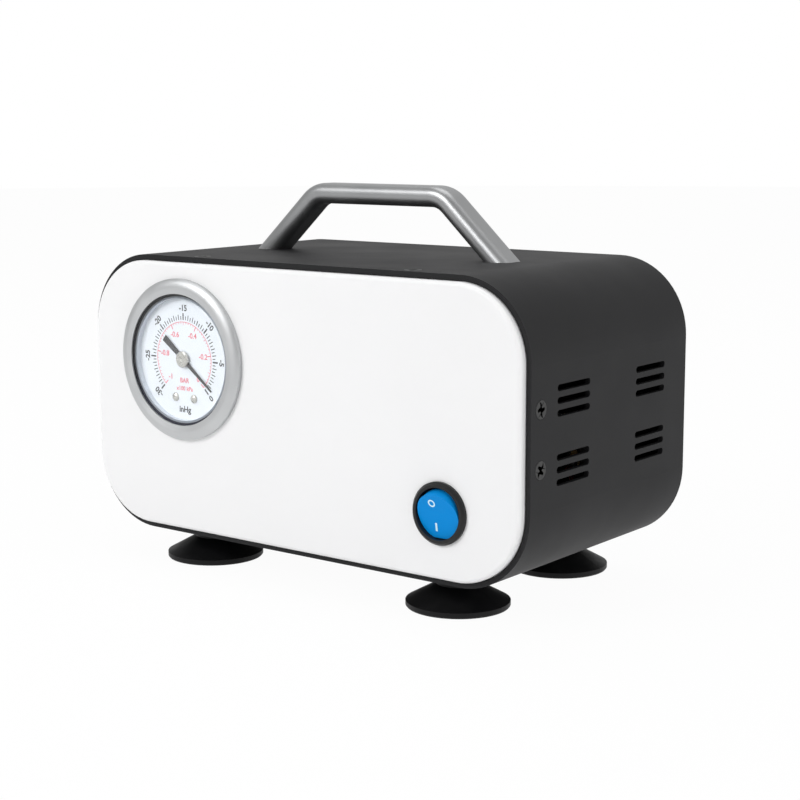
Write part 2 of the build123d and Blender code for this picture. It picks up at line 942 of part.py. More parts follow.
def make_sector():
    step = 360 / sector_full_teeth
    angles = [90 + index * step for index in range(sector_first_tooth, sector_last_tooth + 1)]
    root = sector_radius - 1.25 * gear_module
    first = angles[0] - step
    last = angles[-1] + step
    window_top = root - sector_rim
    with BuildPart() as sector_gear:
        with BuildSketch(sector_plane(gear_depth)):
            with BuildLine():
                Line((0, 0), at_angle(root, first))
                CenterArc((0, 0), root, first, last - first)
                Line(at_angle(root, last), (0, 0))
            make_face()
            with BuildLine():
                Line(at_angle(sector_hub_radius, first + 3 * step), at_angle(window_top, first + step))
                CenterArc((0, 0), window_top, first + step, last - first - 2 * step)
                Line(at_angle(window_top, last - step), at_angle(sector_hub_radius, last - 3 * step))
                Line(
                    at_angle(sector_hub_radius, last - 3 * step),
                    at_angle(sector_hub_radius, first + 3 * step),
                )
            make_face(mode=Mode.SUBTRACT)
            Circle(sector_hub_radius)
            with Locations(Location((0, 0, 0), (0, 0, sector_tail_angle))):
                with Locations((sector_tail / 2, 0)):
                    SlotCenterToCenter(sector_tail, sector_tail_width)
            gear_teeth(root, sector_radius + gear_module, angles)
            with Locations(at_angle(sector_tail, sector_tail_angle)):
                Circle(link_pin_radius + arbor_gap, mode=Mode.SUBTRACT)
        extrude(amount=-gear_width)
        with BuildSketch(sector_plane(front_plate_depth)):
            Circle(sector_arbor_radius)
        extrude(amount=-(socket_depth_start - front_plate_depth))
    finish(sector_gear, "sector_gear")


def make_movement_plates():
    posts = [
        (post_spread, post_rise),
        (-post_spread, post_rise),
        (-post_spread, -sector_drop - post_rise + 1),
    ]
    dial_posts = [(side * dial_screw_spread, -dial_screw_drop) for side in (-1, 1)]
    pads = plate_half_width - 1
    with BuildPart() as movement_plates:
        for depth in (front_plate_depth, back_plate_depth):
            with BuildSketch(gauge_plane(depth)):
                with Locations((0, -sector_drop / 2)):
                    SlotCenterToCenter(sector_drop, 2 * plate_half_width, rotation=90)
                with Locations(*posts, *dial_posts):
                    Circle(pads)
                Circle(arbor_radius + arbor_gap, mode=Mode.SUBTRACT)
                with Locations((0, -sector_drop)):
                    Circle(sector_arbor_radius + arbor_gap, mode=Mode.SUBTRACT)
            extrude(amount=-plate_wall)
        with BuildSketch(gauge_plane(front_plate_depth + plate_wall)):
            with Locations(*posts):
                Circle(post_radius)
        extrude(amount=-plate_gap)
        # hollow posts that the dial screws turn into
        with BuildSketch(gauge_plane(dial_back)):
            with Locations(*dial_posts):
                Circle(post_radius + 0.5)
        extrude(amount=-movement_set_back)
        with BuildSketch(gauge_plane(dial_back)):
            with Locations(*dial_posts):
                Circle(dial_screw_radius * 0.6 + arbor_gap)
        extrude(amount=-movement_set_back, mode=Mode.SUBTRACT)
    finish(movement_plates, "movement_plates")


def socket_bar(depth_start, bar_depth):
    """Bar of the socket block, from the stem out to the root of the tube."""
    bar_end = tube_centre_radius + tube_section_height
    with BuildPart() as bar:
        with BuildSketch(turned_gauge_plane(depth_start, tube_start_angle)):
            with Locations((bar_end / 2 - socket_bar_width / 4, 0)):
                Rectangle(bar_end + socket_bar_width / 2, socket_bar_width)
        extrude(amount=-bar_depth)
    return bar.part


def make_bourdon_tube():
    front = tube_depth - tube_section_width / 2
    back = tube_depth + tube_section_width / 2
    taper = tube_section_width / 5
    inner = tube_centre_radius - tube_section_height / 2
    outer = tube_centre_radius + tube_section_height / 2
    bar_depth = case_depth - case_wall - socket_depth_start
    bar = socket_bar(socket_depth_start, bar_depth)
    with BuildPart() as bourdon_tube:
        with BuildSketch(gauge_profile_plane(tube_start_angle)):
            with BuildLine():
                Polyline(
                    (inner, front + taper),
                    (tube_centre_radius, front),
                    (outer, front + taper),
                    (outer, back - taper),
                    (tube_centre_radius, back),
                    (inner, back - taper),
                    close=True,
                )
            make_face()
        revolve(axis=gauge_axis, revolution_arc=tube_start_angle + 360 - tube_end_angle)
        add(bar, mode=Mode.SUBTRACT)
        # soldered end piece with the pin that the link hooks over
        with BuildSketch(turned_gauge_plane(front, tube_end_angle)):
            with Locations((tube_centre_radius, -1.2)):
                Rectangle(tube_section_height + 1.2, 3.2)
        extrude(amount=-tube_section_width)
        with BuildSketch(gauge_plane(link_depth - 0.4)):
            with Locations(tip_point):
                Circle(link_pin_radius)
        extrude(amount=-(front - link_depth + 0.8))
    finish(bourdon_tube, "bourdon_tube")


def make_link():
    reach = link_length + link_travel
    slot_width = 2 * link_pin_radius + link_slot_play
    link_plane = turned_plane(
        panel_front_y + link_depth, gauge_x + tail_point[0], gauge_z + tail_point[1], link_angle
    )
    with BuildPart() as movement_link:
        with BuildSketch(link_plane):
            with Locations((reach / 2, 0)):
                SlotCenterToCenter(reach, link_width)
            with Locations((link_length + link_travel / 2 - 0.15, 0)):
                SlotCenterToCenter(link_travel, slot_width, mode=Mode.SUBTRACT)
        extrude(amount=-link_wall)
        with BuildSketch(link_plane):
            Circle(link_pin_radius)
        extrude(amount=link_depth - gear_depth)
    finish(movement_link, "movement_link")


def make_gauge_socket():
    bar_depth = case_depth - case_wall - socket_depth_start
    stem_end = case_depth + stem_hex_length
    nozzle_place = Plane((gauge_x, panel_front_y + stem_end, gauge_z), z_dir=(0, 1, 0))
    with BuildPart() as gauge_socket:
        add(socket_bar(socket_depth_start, bar_depth))
        with BuildSketch(gauge_plane(case_depth - case_wall)):
            Circle(stem_radius)
        extrude(amount=-case_wall)
        with BuildSketch(gauge_plane(case_depth)):
            RegularPolygon(stem_hex / 2, 6, major_radius=False)
        extrude(amount=-stem_hex_length)
        with Locations(nozzle_place.location):
            add(hose_nozzle())
    finish(gauge_socket, "gauge_socket")


def make_gauge_clamp():
    """Strap behind the case, pulled toward the panel by two nuts."""
    leg = case_radius + 1.0
    foot_depth = panel_thickness
    with BuildPart() as gauge_clamp:
        with BuildSketch(gauge_profile_plane()):
            with BuildLine():
                Polyline(
                    (-leg - clamp_wall, foot_depth),
                    (-leg - clamp_wall, case_depth + clamp_wall),
                    (leg + clamp_wall, case_depth + clamp_wall),
                    (leg + clamp_wall, foot_depth),
                    (leg, foot_depth),
                    (leg, case_depth),
                    (-leg, case_depth),
                    (-leg, foot_depth),
                    close=True,
                )
            make_face()
        extrude(amount=clamp_width / 2, both=True)
        with BuildSketch(gauge_plane(case_depth)):
            Circle(clamp_hole_radius)
            with Locations((-clamp_half_span, 0), (clamp_half_span, 0)):
                Circle(screw_radius + screw_clearance)
        extrude(amount=-clamp_wall, mode=Mode.SUBTRACT)
    finish(gauge_clamp, "gauge_clamp")


# ============================================================================
# Rocker switch.  Depths are counted backward from the front face of the panel.
# ============================================================================
def switch_plane(depth):
    """Plane across the switch at a depth, seen from the front."""
    return front_plane(panel_front_y + depth, switch_x, switch_z)


def make_switch():
    switch_axis = Axis((switch_x, 0, switch_z), (0, 1, 0))
    pivot_y = panel_front_y + rocker_pivot_depth
    pocket = rocker_radius + rocker_gap
    profile = Plane((switch_x, panel_front_y, switch_z), x_dir=(1, 0, 0), z_dir=(0, 0, 1))
    with BuildPart() as switch_body:
        with BuildSketch(profile):
            with BuildLine():
                Polyline(
                    (0, switch_pocket_depth),
                    (pocket, switch_pocket_depth),
                    (pocket, -switch_bezel_proud),
                    (switch_bezel_radius - switch_bezel_round, -switch_bezel_proud),
                    (switch_bezel_radius, switch_bezel_round - switch_bezel_proud),
                    (switch_bezel_radius, 0),
                    (switch_body_radius, 0),
                    (switch_body_radius, switch_body_depth),
                    (0, switch_body_depth),
                    close=True,
                )
            make_face()
        revolve(axis=switch_axis)
        # sprung clips that hold it behind the panel
        for side in (-1, 1):
            origin = (switch_x, panel_front_y, switch_z)
            with BuildSketch(Plane(origin, x_dir=(side, 0, 0), z_dir=(0, 0, side))):
                with BuildLine():
                    Polyline(
                        (switch_body_radius - 0.3, panel_thickness + skirt_gap),
                        (switch_body_radius + switch_clip_height, panel_thickness + skirt_gap),
                        (switch_body_radius - 0.3, panel_thickness + switch_clip_length),
                        close=True,
                    )
                make_face()
            extrude(amount=switch_clip_width / 2, both=True)
        with BuildSketch(side_plane(switch_x, pivot_y, switch_z)):
            Circle(rocker_pin_radius + arbor_gap)
        extrude(
            amount=rocker_radius + rocker_pin_length + arbor_gap, both=True, mode=Mode.SUBTRACT
        )
    finish(switch_body, "switch_body")

    tilt = radians(rocker_tilt)
    face_plane = Plane(
        (switch_x, pivot_y, switch_z), x_dir=(1, 0, 0), z_dir=(0, -cos(tilt), -sin(tilt))
    )
    dish_reach = rocker_face - rocker_dish + rocker_dish_radius
    with BuildPart() as switch_rocker:
        with BuildSketch(face_plane.offset(rocker_face)):
            Circle(rocker_radius)
        extrude(amount=-(rocker_face + rocker_skirt))
        with BuildSketch(side_plane(switch_x, pivot_y, switch_z)):
            Circle(rocker_swing_radius)
        extrude(amount=switch_bezel_radius, both=True, mode=Mode.INTERSECT)
        with BuildSketch(
            side_plane(
                switch_x,
                pivot_y - dish_reach * cos(tilt),
                switch_z - dish_reach * sin(tilt),
            )
        ):
            Circle(rocker_dish_radius)
        extrude(amount=switch_bezel_radius, both=True, mode=Mode.SUBTRACT)
        with BuildSketch(side_plane(switch_x, pivot_y, switch_z)):
            Circle(rocker_pin_radius)
        extrude(amount=rocker_radius + rocker_pin_length, both=True)
    finish(switch_rocker, "switch_rocker")

    with BuildPart() as switch_terminals:
        with BuildSketch(switch_plane(switch_body_depth)):
            with Locations((0, -terminal_half_pitch), (0, terminal_half_pitch)):
                Rectangle(terminal_width, terminal_wall)
        extrude(amount=-terminal_length)
    finish(switch_terminals, "switch_terminals")


# ============================================================================
# Pump.  The motor shaft lies along X and the diaphragm works upward.
# ============================================================================
pump_left_x = pump_x - pump_block / 2
pump_right_x = pump_x + pump_block / 2
motor_x = pump_right_x + bracket_wall
motor_end_x = motor_x + motor_length
shaft_axis = Axis((0, pump_y, shaft_z), (1, 0, 0))
valve_plate_z = crankcase_top + diaphragm_thickness
gasket_z = valve_plate_z + valve_plate_height
head_z = gasket_z + gasket_thickness
head_top_z = head_z + head_height
head_corners = [
    (pump_x + sx * head_screw_half_pitch, pump_y + sy * head_screw_half_pitch)
    for sx in (-1, 1)
    for sy in (-1, 1)
]
chamber_ports = [(pump_x - port_offset, pump_y), (pump_x + port_offset, pump_y)]


def shaft_profile_plane():
    """Half-section plane of the shaft: X runs along the shaft, Y is the radius."""
    return Plane((0, pump_y, shaft_z), x_dir=(1, 0, 0), z_dir=(0, -1, 0))


def pump_slab(z, height):
    """Square slab of the pump stack with its four screw holes, kept open for more cuts."""
    with BuildPart() as slab:
        with BuildSketch(floor_plane(z, pump_x, pump_y)):
            RectangleRounded(pump_block, pump_block, pump_block_round)
            with GridLocations(2 * head_screw_half_pitch, 2 * head_screw_half_pitch, 2, 2):
                Circle(screw_radius + screw_clearance, mode=Mode.SUBTRACT)
        extrude(amount=height)
    return slab.part


def make_crankcase():
    screw_depth = head_screw_length - (head_top_z - crankcase_top)
    with BuildPart() as crankcase:
        with BuildSketch(floor_plane(crankcase_bottom, pump_x, pump_y)):
            RectangleRounded(pump_block, pump_block, pump_block_round)
        extrude(amount=crankcase_top - crankcase_bottom)
        with BuildSketch(side_plane(pump_left_x, pump_y, shaft_z)):
            Circle(crank_bore)
        extrude(amount=pump_block - crank_end_wall, mode=Mode.SUBTRACT)
        with BuildSketch(floor_plane(crankcase_top, pump_x, pump_y)):
            Circle(neck_radius)
        extrude(amount=-(crankcase_top - shaft_z - crank_bore / 2), mode=Mode.SUBTRACT)
        with BuildSketch(floor_plane(crankcase_top, pump_x, pump_y)):
            Circle(flex_radius)
        extrude(amount=-flex_depth, mode=Mode.SUBTRACT)
        with BuildSketch(floor_plane(crankcase_top)):
            with Locations(*head_corners):
                Circle(screw_radius + screw_clearance)
        extrude(amount=-(screw_depth + 0.5), mode=Mode.SUBTRACT)
        with BuildSketch(side_plane(pump_right_x, pump_y, shaft_z)):
            Circle(bush_radius + shaft_gap)
            with Locations((-motor_screw_offset, 0), (motor_screw_offset, 0)):
                Circle(screw_radius + screw_clearance)
        extrude(amount=-crank_end_wall, mode=Mode.SUBTRACT)
    finish(crankcase, "crankcase")

    with BuildPart() as crankcase_cover:
        with BuildSketch(side_plane(pump_left_x, pump_y, shaft_z)):
            Circle(crank_bore + 2)
        extrude(amount=-1.2)
        with BuildSketch(side_plane(pump_left_x, pump_y, shaft_z)):
            Circle(crank_bore - panel_gap)
            Circle(crank_bore - 2, mode=Mode.SUBTRACT)
        extrude(amount=4)
    finish(crankcase_cover, "crankcase_cover")


def make_crank():
    """Shaft, eccentric and counterweight, all turning together."""
    shaft_start = pump_x - rod_width
    with BuildPart() as motor_shaft:
        with BuildSketch(side_plane(shaft_start, pump_y, shaft_z)):
            Circle(shaft_radius)
        extrude(amount=motor_end_x + 3 - shaft_start)
        chamfer(motor_shaft.edges().filter_by(GeomType.CIRCLE), length=0.4)
    finish(motor_shaft, "motor_shaft")

    left = pump_x - eccentric_width / 2
    with BuildPart() as eccentric:
        with BuildSketch(side_plane(left, pump_y, shaft_z)):
            with Locations((0, eccentric_throw)):
                Circle(eccentric_radius)
            Circle(shaft_radius + shaft_gap, mode=Mode.SUBTRACT)
        extrude(amount=eccentric_width)
        # the counterweight hangs opposite the throw
        with BuildSketch(side_plane(left + eccentric_width, pump_y, shaft_z)):
            Circle(counterweight_radius)
            with Locations((0, counterweight_radius / 2)):
                Rectangle(2 * counterweight_radius, counterweight_radius, mode=Mode.SUBTRACT)
            Circle(eccentric_radius)
            Circle(shaft_radius + shaft_gap, mode=Mode.SUBTRACT)
        extrude(amount=counterweight_width)
    finish(eccentric, "eccentric")


def make_rod():
    """Ball bearing, connecting rod and the discs that grip the diaphragm."""
    pin_z = shaft_z + eccentric_throw
    left = pump_x - rod_width / 2
    pad_z = crankcase_top - rod_pad_height
    with BuildPart() as rod_bearing:
        with BuildSketch(side_plane(left, pump_y, pin_z)):
            Circle(rod_bearing_radius - shaft_gap)
            Circle(eccentric_radius + shaft_gap, mode=Mode.SUBTRACT)
        extrude(amount=rod_width)
    finish(rod_bearing, "rod_bearing")

    with BuildPart() as connecting_rod:
        with BuildSketch(side_plane(left, pump_y, pin_z)):
            Circle(rod_ring_radius)
            with BuildLine():
                Polyline(
                    (-rod_ring_radius * 0.7, rod_ring_radius * 0.6),
                    (-rod_neck_half, pad_z - pin_z),
                    (rod_neck_half, pad_z - pin_z),
                    (rod_ring_radius * 0.7, rod_ring_radius * 0.6),
                    close=True,
                )
            make_face()
            Circle(rod_bearing_radius, mode=Mode.SUBTRACT)
        extrude(amount=rod_width)
        with BuildSketch(floor_plane(pad_z, pump_x, pump_y)):
            Circle(rod_pad_radius)
        extrude(amount=rod_pad_height)
        with BuildSketch(floor_plane(crankcase_top, pump_x, pump_y)):
            Circle(screw_radius + shaft_gap)
        extrude(amount=-6, mode=Mode.SUBTRACT)
    finish(connecting_rod, "connecting_rod")

    disc_z = crankcase_top + diaphragm_thickness
    with BuildPart() as diaphragm_clamp:
        with BuildSketch(floor_plane(disc_z, pump_x, pump_y)):
            Circle(clamp_disc_radius)
        extrude(amount=clamp_disc_thickness)
        chamfer(diaphragm_clamp.faces().sort_by(Axis.Z)[-1].edges(), length=0.5)
        with BuildSketch(floor_plane(disc_z, pump_x, pump_y)):
            Circle(screw_radius)
        extrude(amount=-(diaphragm_thickness + 5))
    finish(diaphragm_clamp, "diaphragm_clamp")


def make_pump_stack():
    with BuildPart() as diaphragm:
        with BuildSketch(floor_plane(crankcase_top, pump_x, pump_y)):
            Circle(diaphragm_radius)
            Circle(screw_radius + screw_clearance, mode=Mode.SUBTRACT)
        extrude(amount=diaphragm_thickness)
    finish(diaphragm, "diaphragm")

    with BuildPart() as valve_plate:
        add(pump_slab(valve_plate_z, valve_plate_height))
        with BuildSketch(floor_plane(valve_plate_z, pump_x, pump_y)):
            Circle(flex_radius)
        extrude(amount=chamber_depth, mode=Mode.SUBTRACT)
        with BuildSketch(floor_plane(valve_plate_z)):
            with Locations(*chamber_ports):
                Circle(port_radius)
        extrude(amount=valve_plate_height, mode=Mode.SUBTRACT)
    finish(valve_plate, "valve_plate")

    # gasket cut in one piece with its two flaps, each joined by a short neck
    with BuildPart() as valve_gasket:
        add(pump_slab(gasket_z, gasket_thickness))
        with BuildSketch(floor_plane(gasket_z)):
            for x, y in chamber_ports:
                with Locations((x, y)):
                    Circle(head_pocket_radius)
                    Circle(flap_radius, mode=Mode.SUBTRACT)
                with Locations((x, y + head_pocket_radius - 1)):
                    Rectangle(flap_neck_width, 4, mode=Mode.SUBTRACT)
        extrude(amount=gasket_thickness, mode=Mode.SUBTRACT)
    finish(valve_gasket, "valve_gasket")

    left_place = Plane((pump_left_x, pump_y, gauge_z), z_dir=(-1, 0, 0)).location
    right_place = Plane((pump_right_x, pump_y, gauge_z), z_dir=(1, 0, 0)).location
    with BuildPart() as pump_head:
        add(pump_slab(head_z, head_height))
        top_edges = pump_head.faces().sort_by(Axis.Z)[-1].outer_wire().edges()
        chamfer(top_edges, length=1)
        with BuildSketch(floor_plane(head_z)):
            with Locations(*chamber_ports):
                Circle(head_pocket_radius)
        extrude(amount=head_pocket_depth + 2, mode=Mode.SUBTRACT)
        with BuildSketch(side_plane(pump_left_x, pump_y, gauge_z)):
            Circle(nozzle_bore)
        extrude(amount=pump_block / 2 - port_offset, mode=Mode.SUBTRACT)
        with BuildSketch(side_plane(pump_right_x, pump_y, gauge_z)):
            Circle(nozzle_bore)
        extrude(amount=-(pump_block / 2 - port_offset), mode=Mode.SUBTRACT)
        with Locations(left_place, right_place):
            add(hose_nozzle())
    finish(pump_head, "pump_head")

    screw = m3_screw(head_screw_length)
    with BuildPart() as head_screws:
        with Locations(*[(x, y, head_top_z) for x, y in head_corners]):
            add(screw)
    finish(head_screws, "head_screws")


def make_motor():
    with BuildPart() as motor_can:
        with BuildSketch(shaft_profile_plane()):
            with BuildLine():
                Polyline(
                    (motor_x, bush_radius + shaft_gap),
                    (motor_x, motor_radius - 1),
                    (motor_x + 1, motor_radius),
                    (motor_end_x, motor_radius),
                    (motor_end_x, motor_radius - motor_wall),
                    (motor_x + motor_wall, motor_radius - motor_wall),
                    (motor_x + motor_wall, bush_radius + shaft_gap),
                    close=True,
                )
            make_face()
        revolve(axis=shaft_axis)
        with BuildSketch(side_plane(motor_x, pump_y, shaft_z)):
            with Locations((-motor_screw_offset, 0), (motor_screw_offset, 0)):
                Circle(screw_radius + screw_clearance)
        extrude(amount=motor_wall, mode=Mode.SUBTRACT)
    finish(motor_can, "motor_can")

    rotor_x = motor_x + 8
    magnet_outer = motor_radius - motor_wall - shaft_gap
    with BuildPart() as motor_magnets:
        with BuildSketch(side_plane(rotor_x - 1, pump_y, shaft_z)):
            Circle(magnet_outer)
            Circle(magnet_inner_radius, mode=Mode.SUBTRACT)
            half_gap = magnet_outer * cos(radians(magnet_angle / 2))
            Rectangle(2 * motor_radius, 2 * half_gap, mode=Mode.SUBTRACT)
        extrude(amount=rotor_length + 2)
    finish(motor_magnets, "motor_magnets")

    with BuildPart() as motor_rotor:
        with BuildSketch(side_plane(rotor_x, pump_y, shaft_z)):
            Circle(rotor_radius)
            Circle(shaft_radius + shaft_gap, mode=Mode.SUBTRACT)
            with PolarLocations((rotor_radius + commutator_radius + 2.5) / 2, rotor_slots):
                SlotOverall(rotor_radius - commutator_radius, 3.2, mode=Mode.SUBTRACT)
        extrude(amount=rotor_length)
        with BuildSketch(side_plane(rotor_x + rotor_length, pump_y, shaft_z)):
            Circle(commutator_radius)
            Circle(shaft_radius + shaft_gap, mode=Mode.SUBTRACT)
        extrude(amount=commutator_length)
    finish(motor_rotor, "motor_rotor")

    with BuildPart() as motor_end_cap:
        with BuildSketch(side_plane(motor_end_x, pump_y, shaft_z)):
            Circle(motor_radius - motor_wall - shaft_gap)
        extrude(amount=-end_cap_height)
        with BuildSketch(side_plane(motor_end_x, pump_y, shaft_z)):
            Circle(bush_radius + 2)
        extrude(amount=3)
        with BuildSketch(side_plane(motor_end_x + 3, pump_y, shaft_z)):
            Circle(bush_radius + shaft_gap)
        extrude(amount=-(end_cap_height + 3), mode=Mode.SUBTRACT)
        with BuildSketch(side_plane(motor_end_x, pump_y, shaft_z)):
            with Locations((-motor_screw_offset, 0), (motor_screw_offset, 0)):
                Rectangle(terminal_wall, 2.8)
        extrude(amount=6)
    finish(motor_end_cap, "motor_end_cap")

    with BuildPart() as shaft_bushes:
        for start, length in (
            (pump_right_x - crank_end_wall, crank_end_wall + bracket_wall + motor_wall),
            (motor_end_x - end_cap_height, end_cap_height + 2),
        ):
            with BuildSketch(side_plane(start, pump_y, shaft_z)):
                Circle(bush_radius)
                Circle(shaft_radius + shaft_gap, mode=Mode.SUBTRACT)
            extrude(amount=length)
    finish(shaft_bushes, "shaft_bushes")


def make_bracket():
    base_x = pump_left_x + bracket_length / 2
    bottom = crankcase_bottom - bracket_wall
    with BuildPart() as pump_bracket:
        with BuildSketch(floor_plane(bottom, base_x, pump_y)):
            RectangleRounded(bracket_length, 2 * bracket_half_width, 3)
        extrude(amount=bracket_wall)
        with BuildSketch(floor_plane(bottom)):
            with Locations(*mount_places(0)):
                Circle(screw_radius + screw_clearance)
        extrude(amount=bracket_wall, mode=Mode.SUBTRACT)
        with BuildSketch(side_plane(pump_right_x, pump_y, crankcase_bottom)):
            with Locations((0, bracket_face_height / 2)):
                Rectangle(pump_block, bracket_face_height)
            with Locations((0, shaft_z - crankcase_bottom)):
                Circle(bush_radius + shaft_gap, mode=Mode.SUBTRACT)
                with GridLocations(2 * motor_screw_offset, 0, 2, 1):
                    Circle(screw_radius + screw_clearance, mode=Mode.SUBTRACT)
        extrude(amount=bracket_wall)
    finish(pump_bracket, "pump_bracket")

    with BuildPart() as rubber_mounts:
        with BuildSketch(floor_plane(floor_z)):
            with Locations(*mount_places(0)):
                Circle(mount_radius)
                Circle(screw_radius + screw_clearance, mode=Mode.SUBTRACT)
        extrude(amount=bottom - floor_z)
    finish(rubber_mounts, "rubber_mounts")


def make_inner_screws():
    """M3 pan head screws of the handle, pump bracket, motor and power board."""
    under = top_z - sleeve_wall - washer_thickness
    inner_wall_x = pump_right_x - crank_end_wall
    handle_screw = m3_screw(washer_thickness + sleeve_wall + handle_screw_reach)
    mount_screw = m3_screw(crankcase_bottom - foot_height + m3_nut_height + 1)
    motor_screw = m3_screw(crank_end_wall + bracket_wall + motor_wall + 2)
    board_under_screw = m3_screw(sleeve_wall + 3)
    board_over_screw = m3_screw(board_thickness + 3)
    board_top = floor_z + board_standoff + board_thickness
    with BuildPart() as inner_screws:
        with BuildSketch(Plane.XY.offset(under)):
            with Locations(*handle_screw_places(0)):
                Circle(washer_radius)
                Circle(screw_radius + screw_clearance, mode=Mode.SUBTRACT)
        extrude(amount=washer_thickness)
        with Locations(*upward(handle_screw_places(under))):
            add(handle_screw)
        with Locations(*upward(mount_places(foot_height))):
            add(mount_screw)
        with Locations(*upward(standoff_places(foot_height))):
            add(board_under_screw)
        with Locations(*standoff_places(board_top)):
            add(board_over_screw)
        for side in (-1, 1):
            point = (inner_wall_x, pump_y + side * motor_screw_offset, shaft_z)
            with Locations(Plane(point, z_dir=(-1, 0, 0)).location):
                add(motor_screw)
    finish(inner_screws, "inner_screws")


def make_inner_nuts():
    """M3 nuts of the pump bracket and the gauge clamp."""
    nut = hex_nut(5.5, m3_nut_height, screw_radius + shaft_gap)
    clamp_y = panel_front_y + case_depth + clamp_wall
    with BuildPart() as inner_nuts:
        with Locations(*mount_places(crankcase_bottom)):
            add(nut)
        for side in (-1, 1):
            point = (gauge_x + side * clamp_half_span, clamp_y, gauge_z)
            with Locations(Plane(point, z_dir=(0, 1, 0)).location):
                add(nut)
    finish(inner_nuts, "inner_nuts")


# ============================================================================
# Rear fittings and hoses
# ============================================================================
def barb_profile_plane(x):
    """Half-section plane of a rear barb: X is the radius, Y the depth from the panel."""
    return Plane((x, rear_face_y, gauge_z), x_dir=(1, 0, 0), z_dir=(0, 0, 1))


def make_rear_barb(x, label):
    """Bulkhead fitting: hose barb outside, thread and nozzle inside."""
    swell = barb_radius + 0.5
    nozzle_plane = Plane((x, rear_face_y - barb_thread_length, gauge_z), z_dir=(0, -1, 0))
    with BuildPart() as barb:
        with BuildSketch(rear_plane(rear_face_y, x, gauge_z)):
            RegularPolygon(barb_hex / 2, 6, major_radius=False)
        extrude(amount=barb_hex_length)
        with BuildSketch(barb_profile_plane(x)):
            with BuildLine():
                Polyline(
                    (0, barb_hex_length),
                    (barb_radius, barb_hex_length),
                    (barb_radius, barb_reach * 0.45),
                    (swell, barb_reach * 0.45),
                    (barb_radius, barb_reach * 0.63),
                    (swell, barb_reach * 0.63),
                    (barb_radius, barb_reach * 0.81),
                    (swell, barb_reach * 0.81),
                    (barb_radius * 0.85, barb_reach),
                    (0, barb_reach),
                    close=True,
                )
            make_face()
        revolve(axis=Axis((x, 0, gauge_z), (0, 1, 0)))
        with BuildSketch(rear_plane(rear_face_y, x, gauge_z)):
            Circle(barb_thread_radius)
        extrude(amount=-barb_thread_length)
        with Locations(nozzle_plane.location):
            add(hose_nozzle())
        with BuildSketch(rear_plane(rear_face_y + barb_reach, x, gauge_z)):
            Circle(nozzle_bore)
        extrude(amount=-(barb_reach + barb_thread_length), mode=Mode.SUBTRACT)
    finish(barb, label)


def make_barb_nuts():
    nut = hex_nut(11, barb_nut_height, barb_thread_radius + shaft_gap)
    with BuildPart() as barb_nuts:
        for x in (gauge_x, exhaust_x):
            point = (x, rear_face_y - panel_thickness, gauge_z)
            with Locations(Plane(point, z_dir=(0, -1, 0)).location):
                add(nut)
    finish(barb_nuts, "barb_nuts")


def make_tee():
    """Tee that joins the gauge, the pump head and the vacuum barb."""
    half = tee_block / 2
    branches = [
        Plane((gauge_x, pump_y - half, gauge_z), z_dir=(0, -1, 0)).location,
        Plane((gauge_x, pump_y + half, gauge_z), z_dir=(0, 1, 0)).location,
        Plane((gauge_x + half, pump_y, gauge_z), z_dir=(1, 0, 0)).location,
    ]
    with BuildPart() as tee_fitting:
        with BuildSketch(floor_plane(gauge_z - half, gauge_x, pump_y)):
            RectangleRounded(tee_block, tee_block, 2)
        extrude(amount=tee_block)
        with Locations(*branches):
            Hole(nozzle_bore, depth=half)
            add(hose_nozzle())
    finish(tee_fitting, "tee_fitting")


def straight_hose(start, direction, length):
    """Straight length of hose."""
    with BuildPart() as hose:
        with BuildSketch(Plane(start, z_dir=direction)):
            Circle(hose_inner_radius + hose_wall)
            Circle(hose_inner_radius, mode=Mode.SUBTRACT)
        extrude(amount=length)
    return hose.part


def make_hoses():
    reach = tee_block / 2 + nozzle_length - hose_grip
    gauge_tip = panel_front_y + case_depth + stem_hex_length + nozzle_length
    barb_tip = rear_face_y - barb_thread_length - nozzle_length
    head_tip = pump_left_x - nozzle_length
    gauge_start = gauge_tip - hose_grip
    head_start = gauge_x + reach
    barb_start = pump_y + reach
    exhaust_start = pump_right_x + nozzle_length - hose_grip
    exhaust_end = barb_tip + hose_grip
    with BuildPart() as hoses:
        add(
            straight_hose(
                (gauge_x, gauge_start, gauge_z), (0, 1, 0), pump_y - reach - gauge_start
            )
        )
        add(
            straight_hose(
                (gauge_x, barb_start, gauge_z), (0, 1, 0), barb_tip + hose_grip - barb_start
            )
        )
        add(
            straight_hose(
                (head_start, pump_y, gauge_z), (1, 0, 0), head_tip + hose_grip - head_start
            )
        )
        with BuildLine() as route:
            FilletPolyline(
                (exhaust_start, pump_y, gauge_z),
                (exhaust_x, pump_y, gauge_z),
                (exhaust_x, exhaust_end, gauge_z),
                radius=0.45 * min(exhaust_x - exhaust_start, exhaust_end - pump_y),
            )
        with BuildSketch(Plane(route.line @ 0, z_dir=route.line % 0)):
            Circle(hose_inner_radius + hose_wall)
            Circle(hose_inner_radius, mode=Mode.SUBTRACT)
        sweep(path=route.line)
    finish(hoses, "hoses")


# ============================================================================
# Power inlet, fuse drawer and power board
# ============================================================================
flange_y = rear_face_y + inlet_flange_wall
socket_z = inlet_z + socket_rise
drawer_z = inlet_z - drawer_drop
pin_spots = [(-pin_pitch / 2, -pin_offset), (pin_pitch / 2, -pin_offset), (0, pin_offset)]


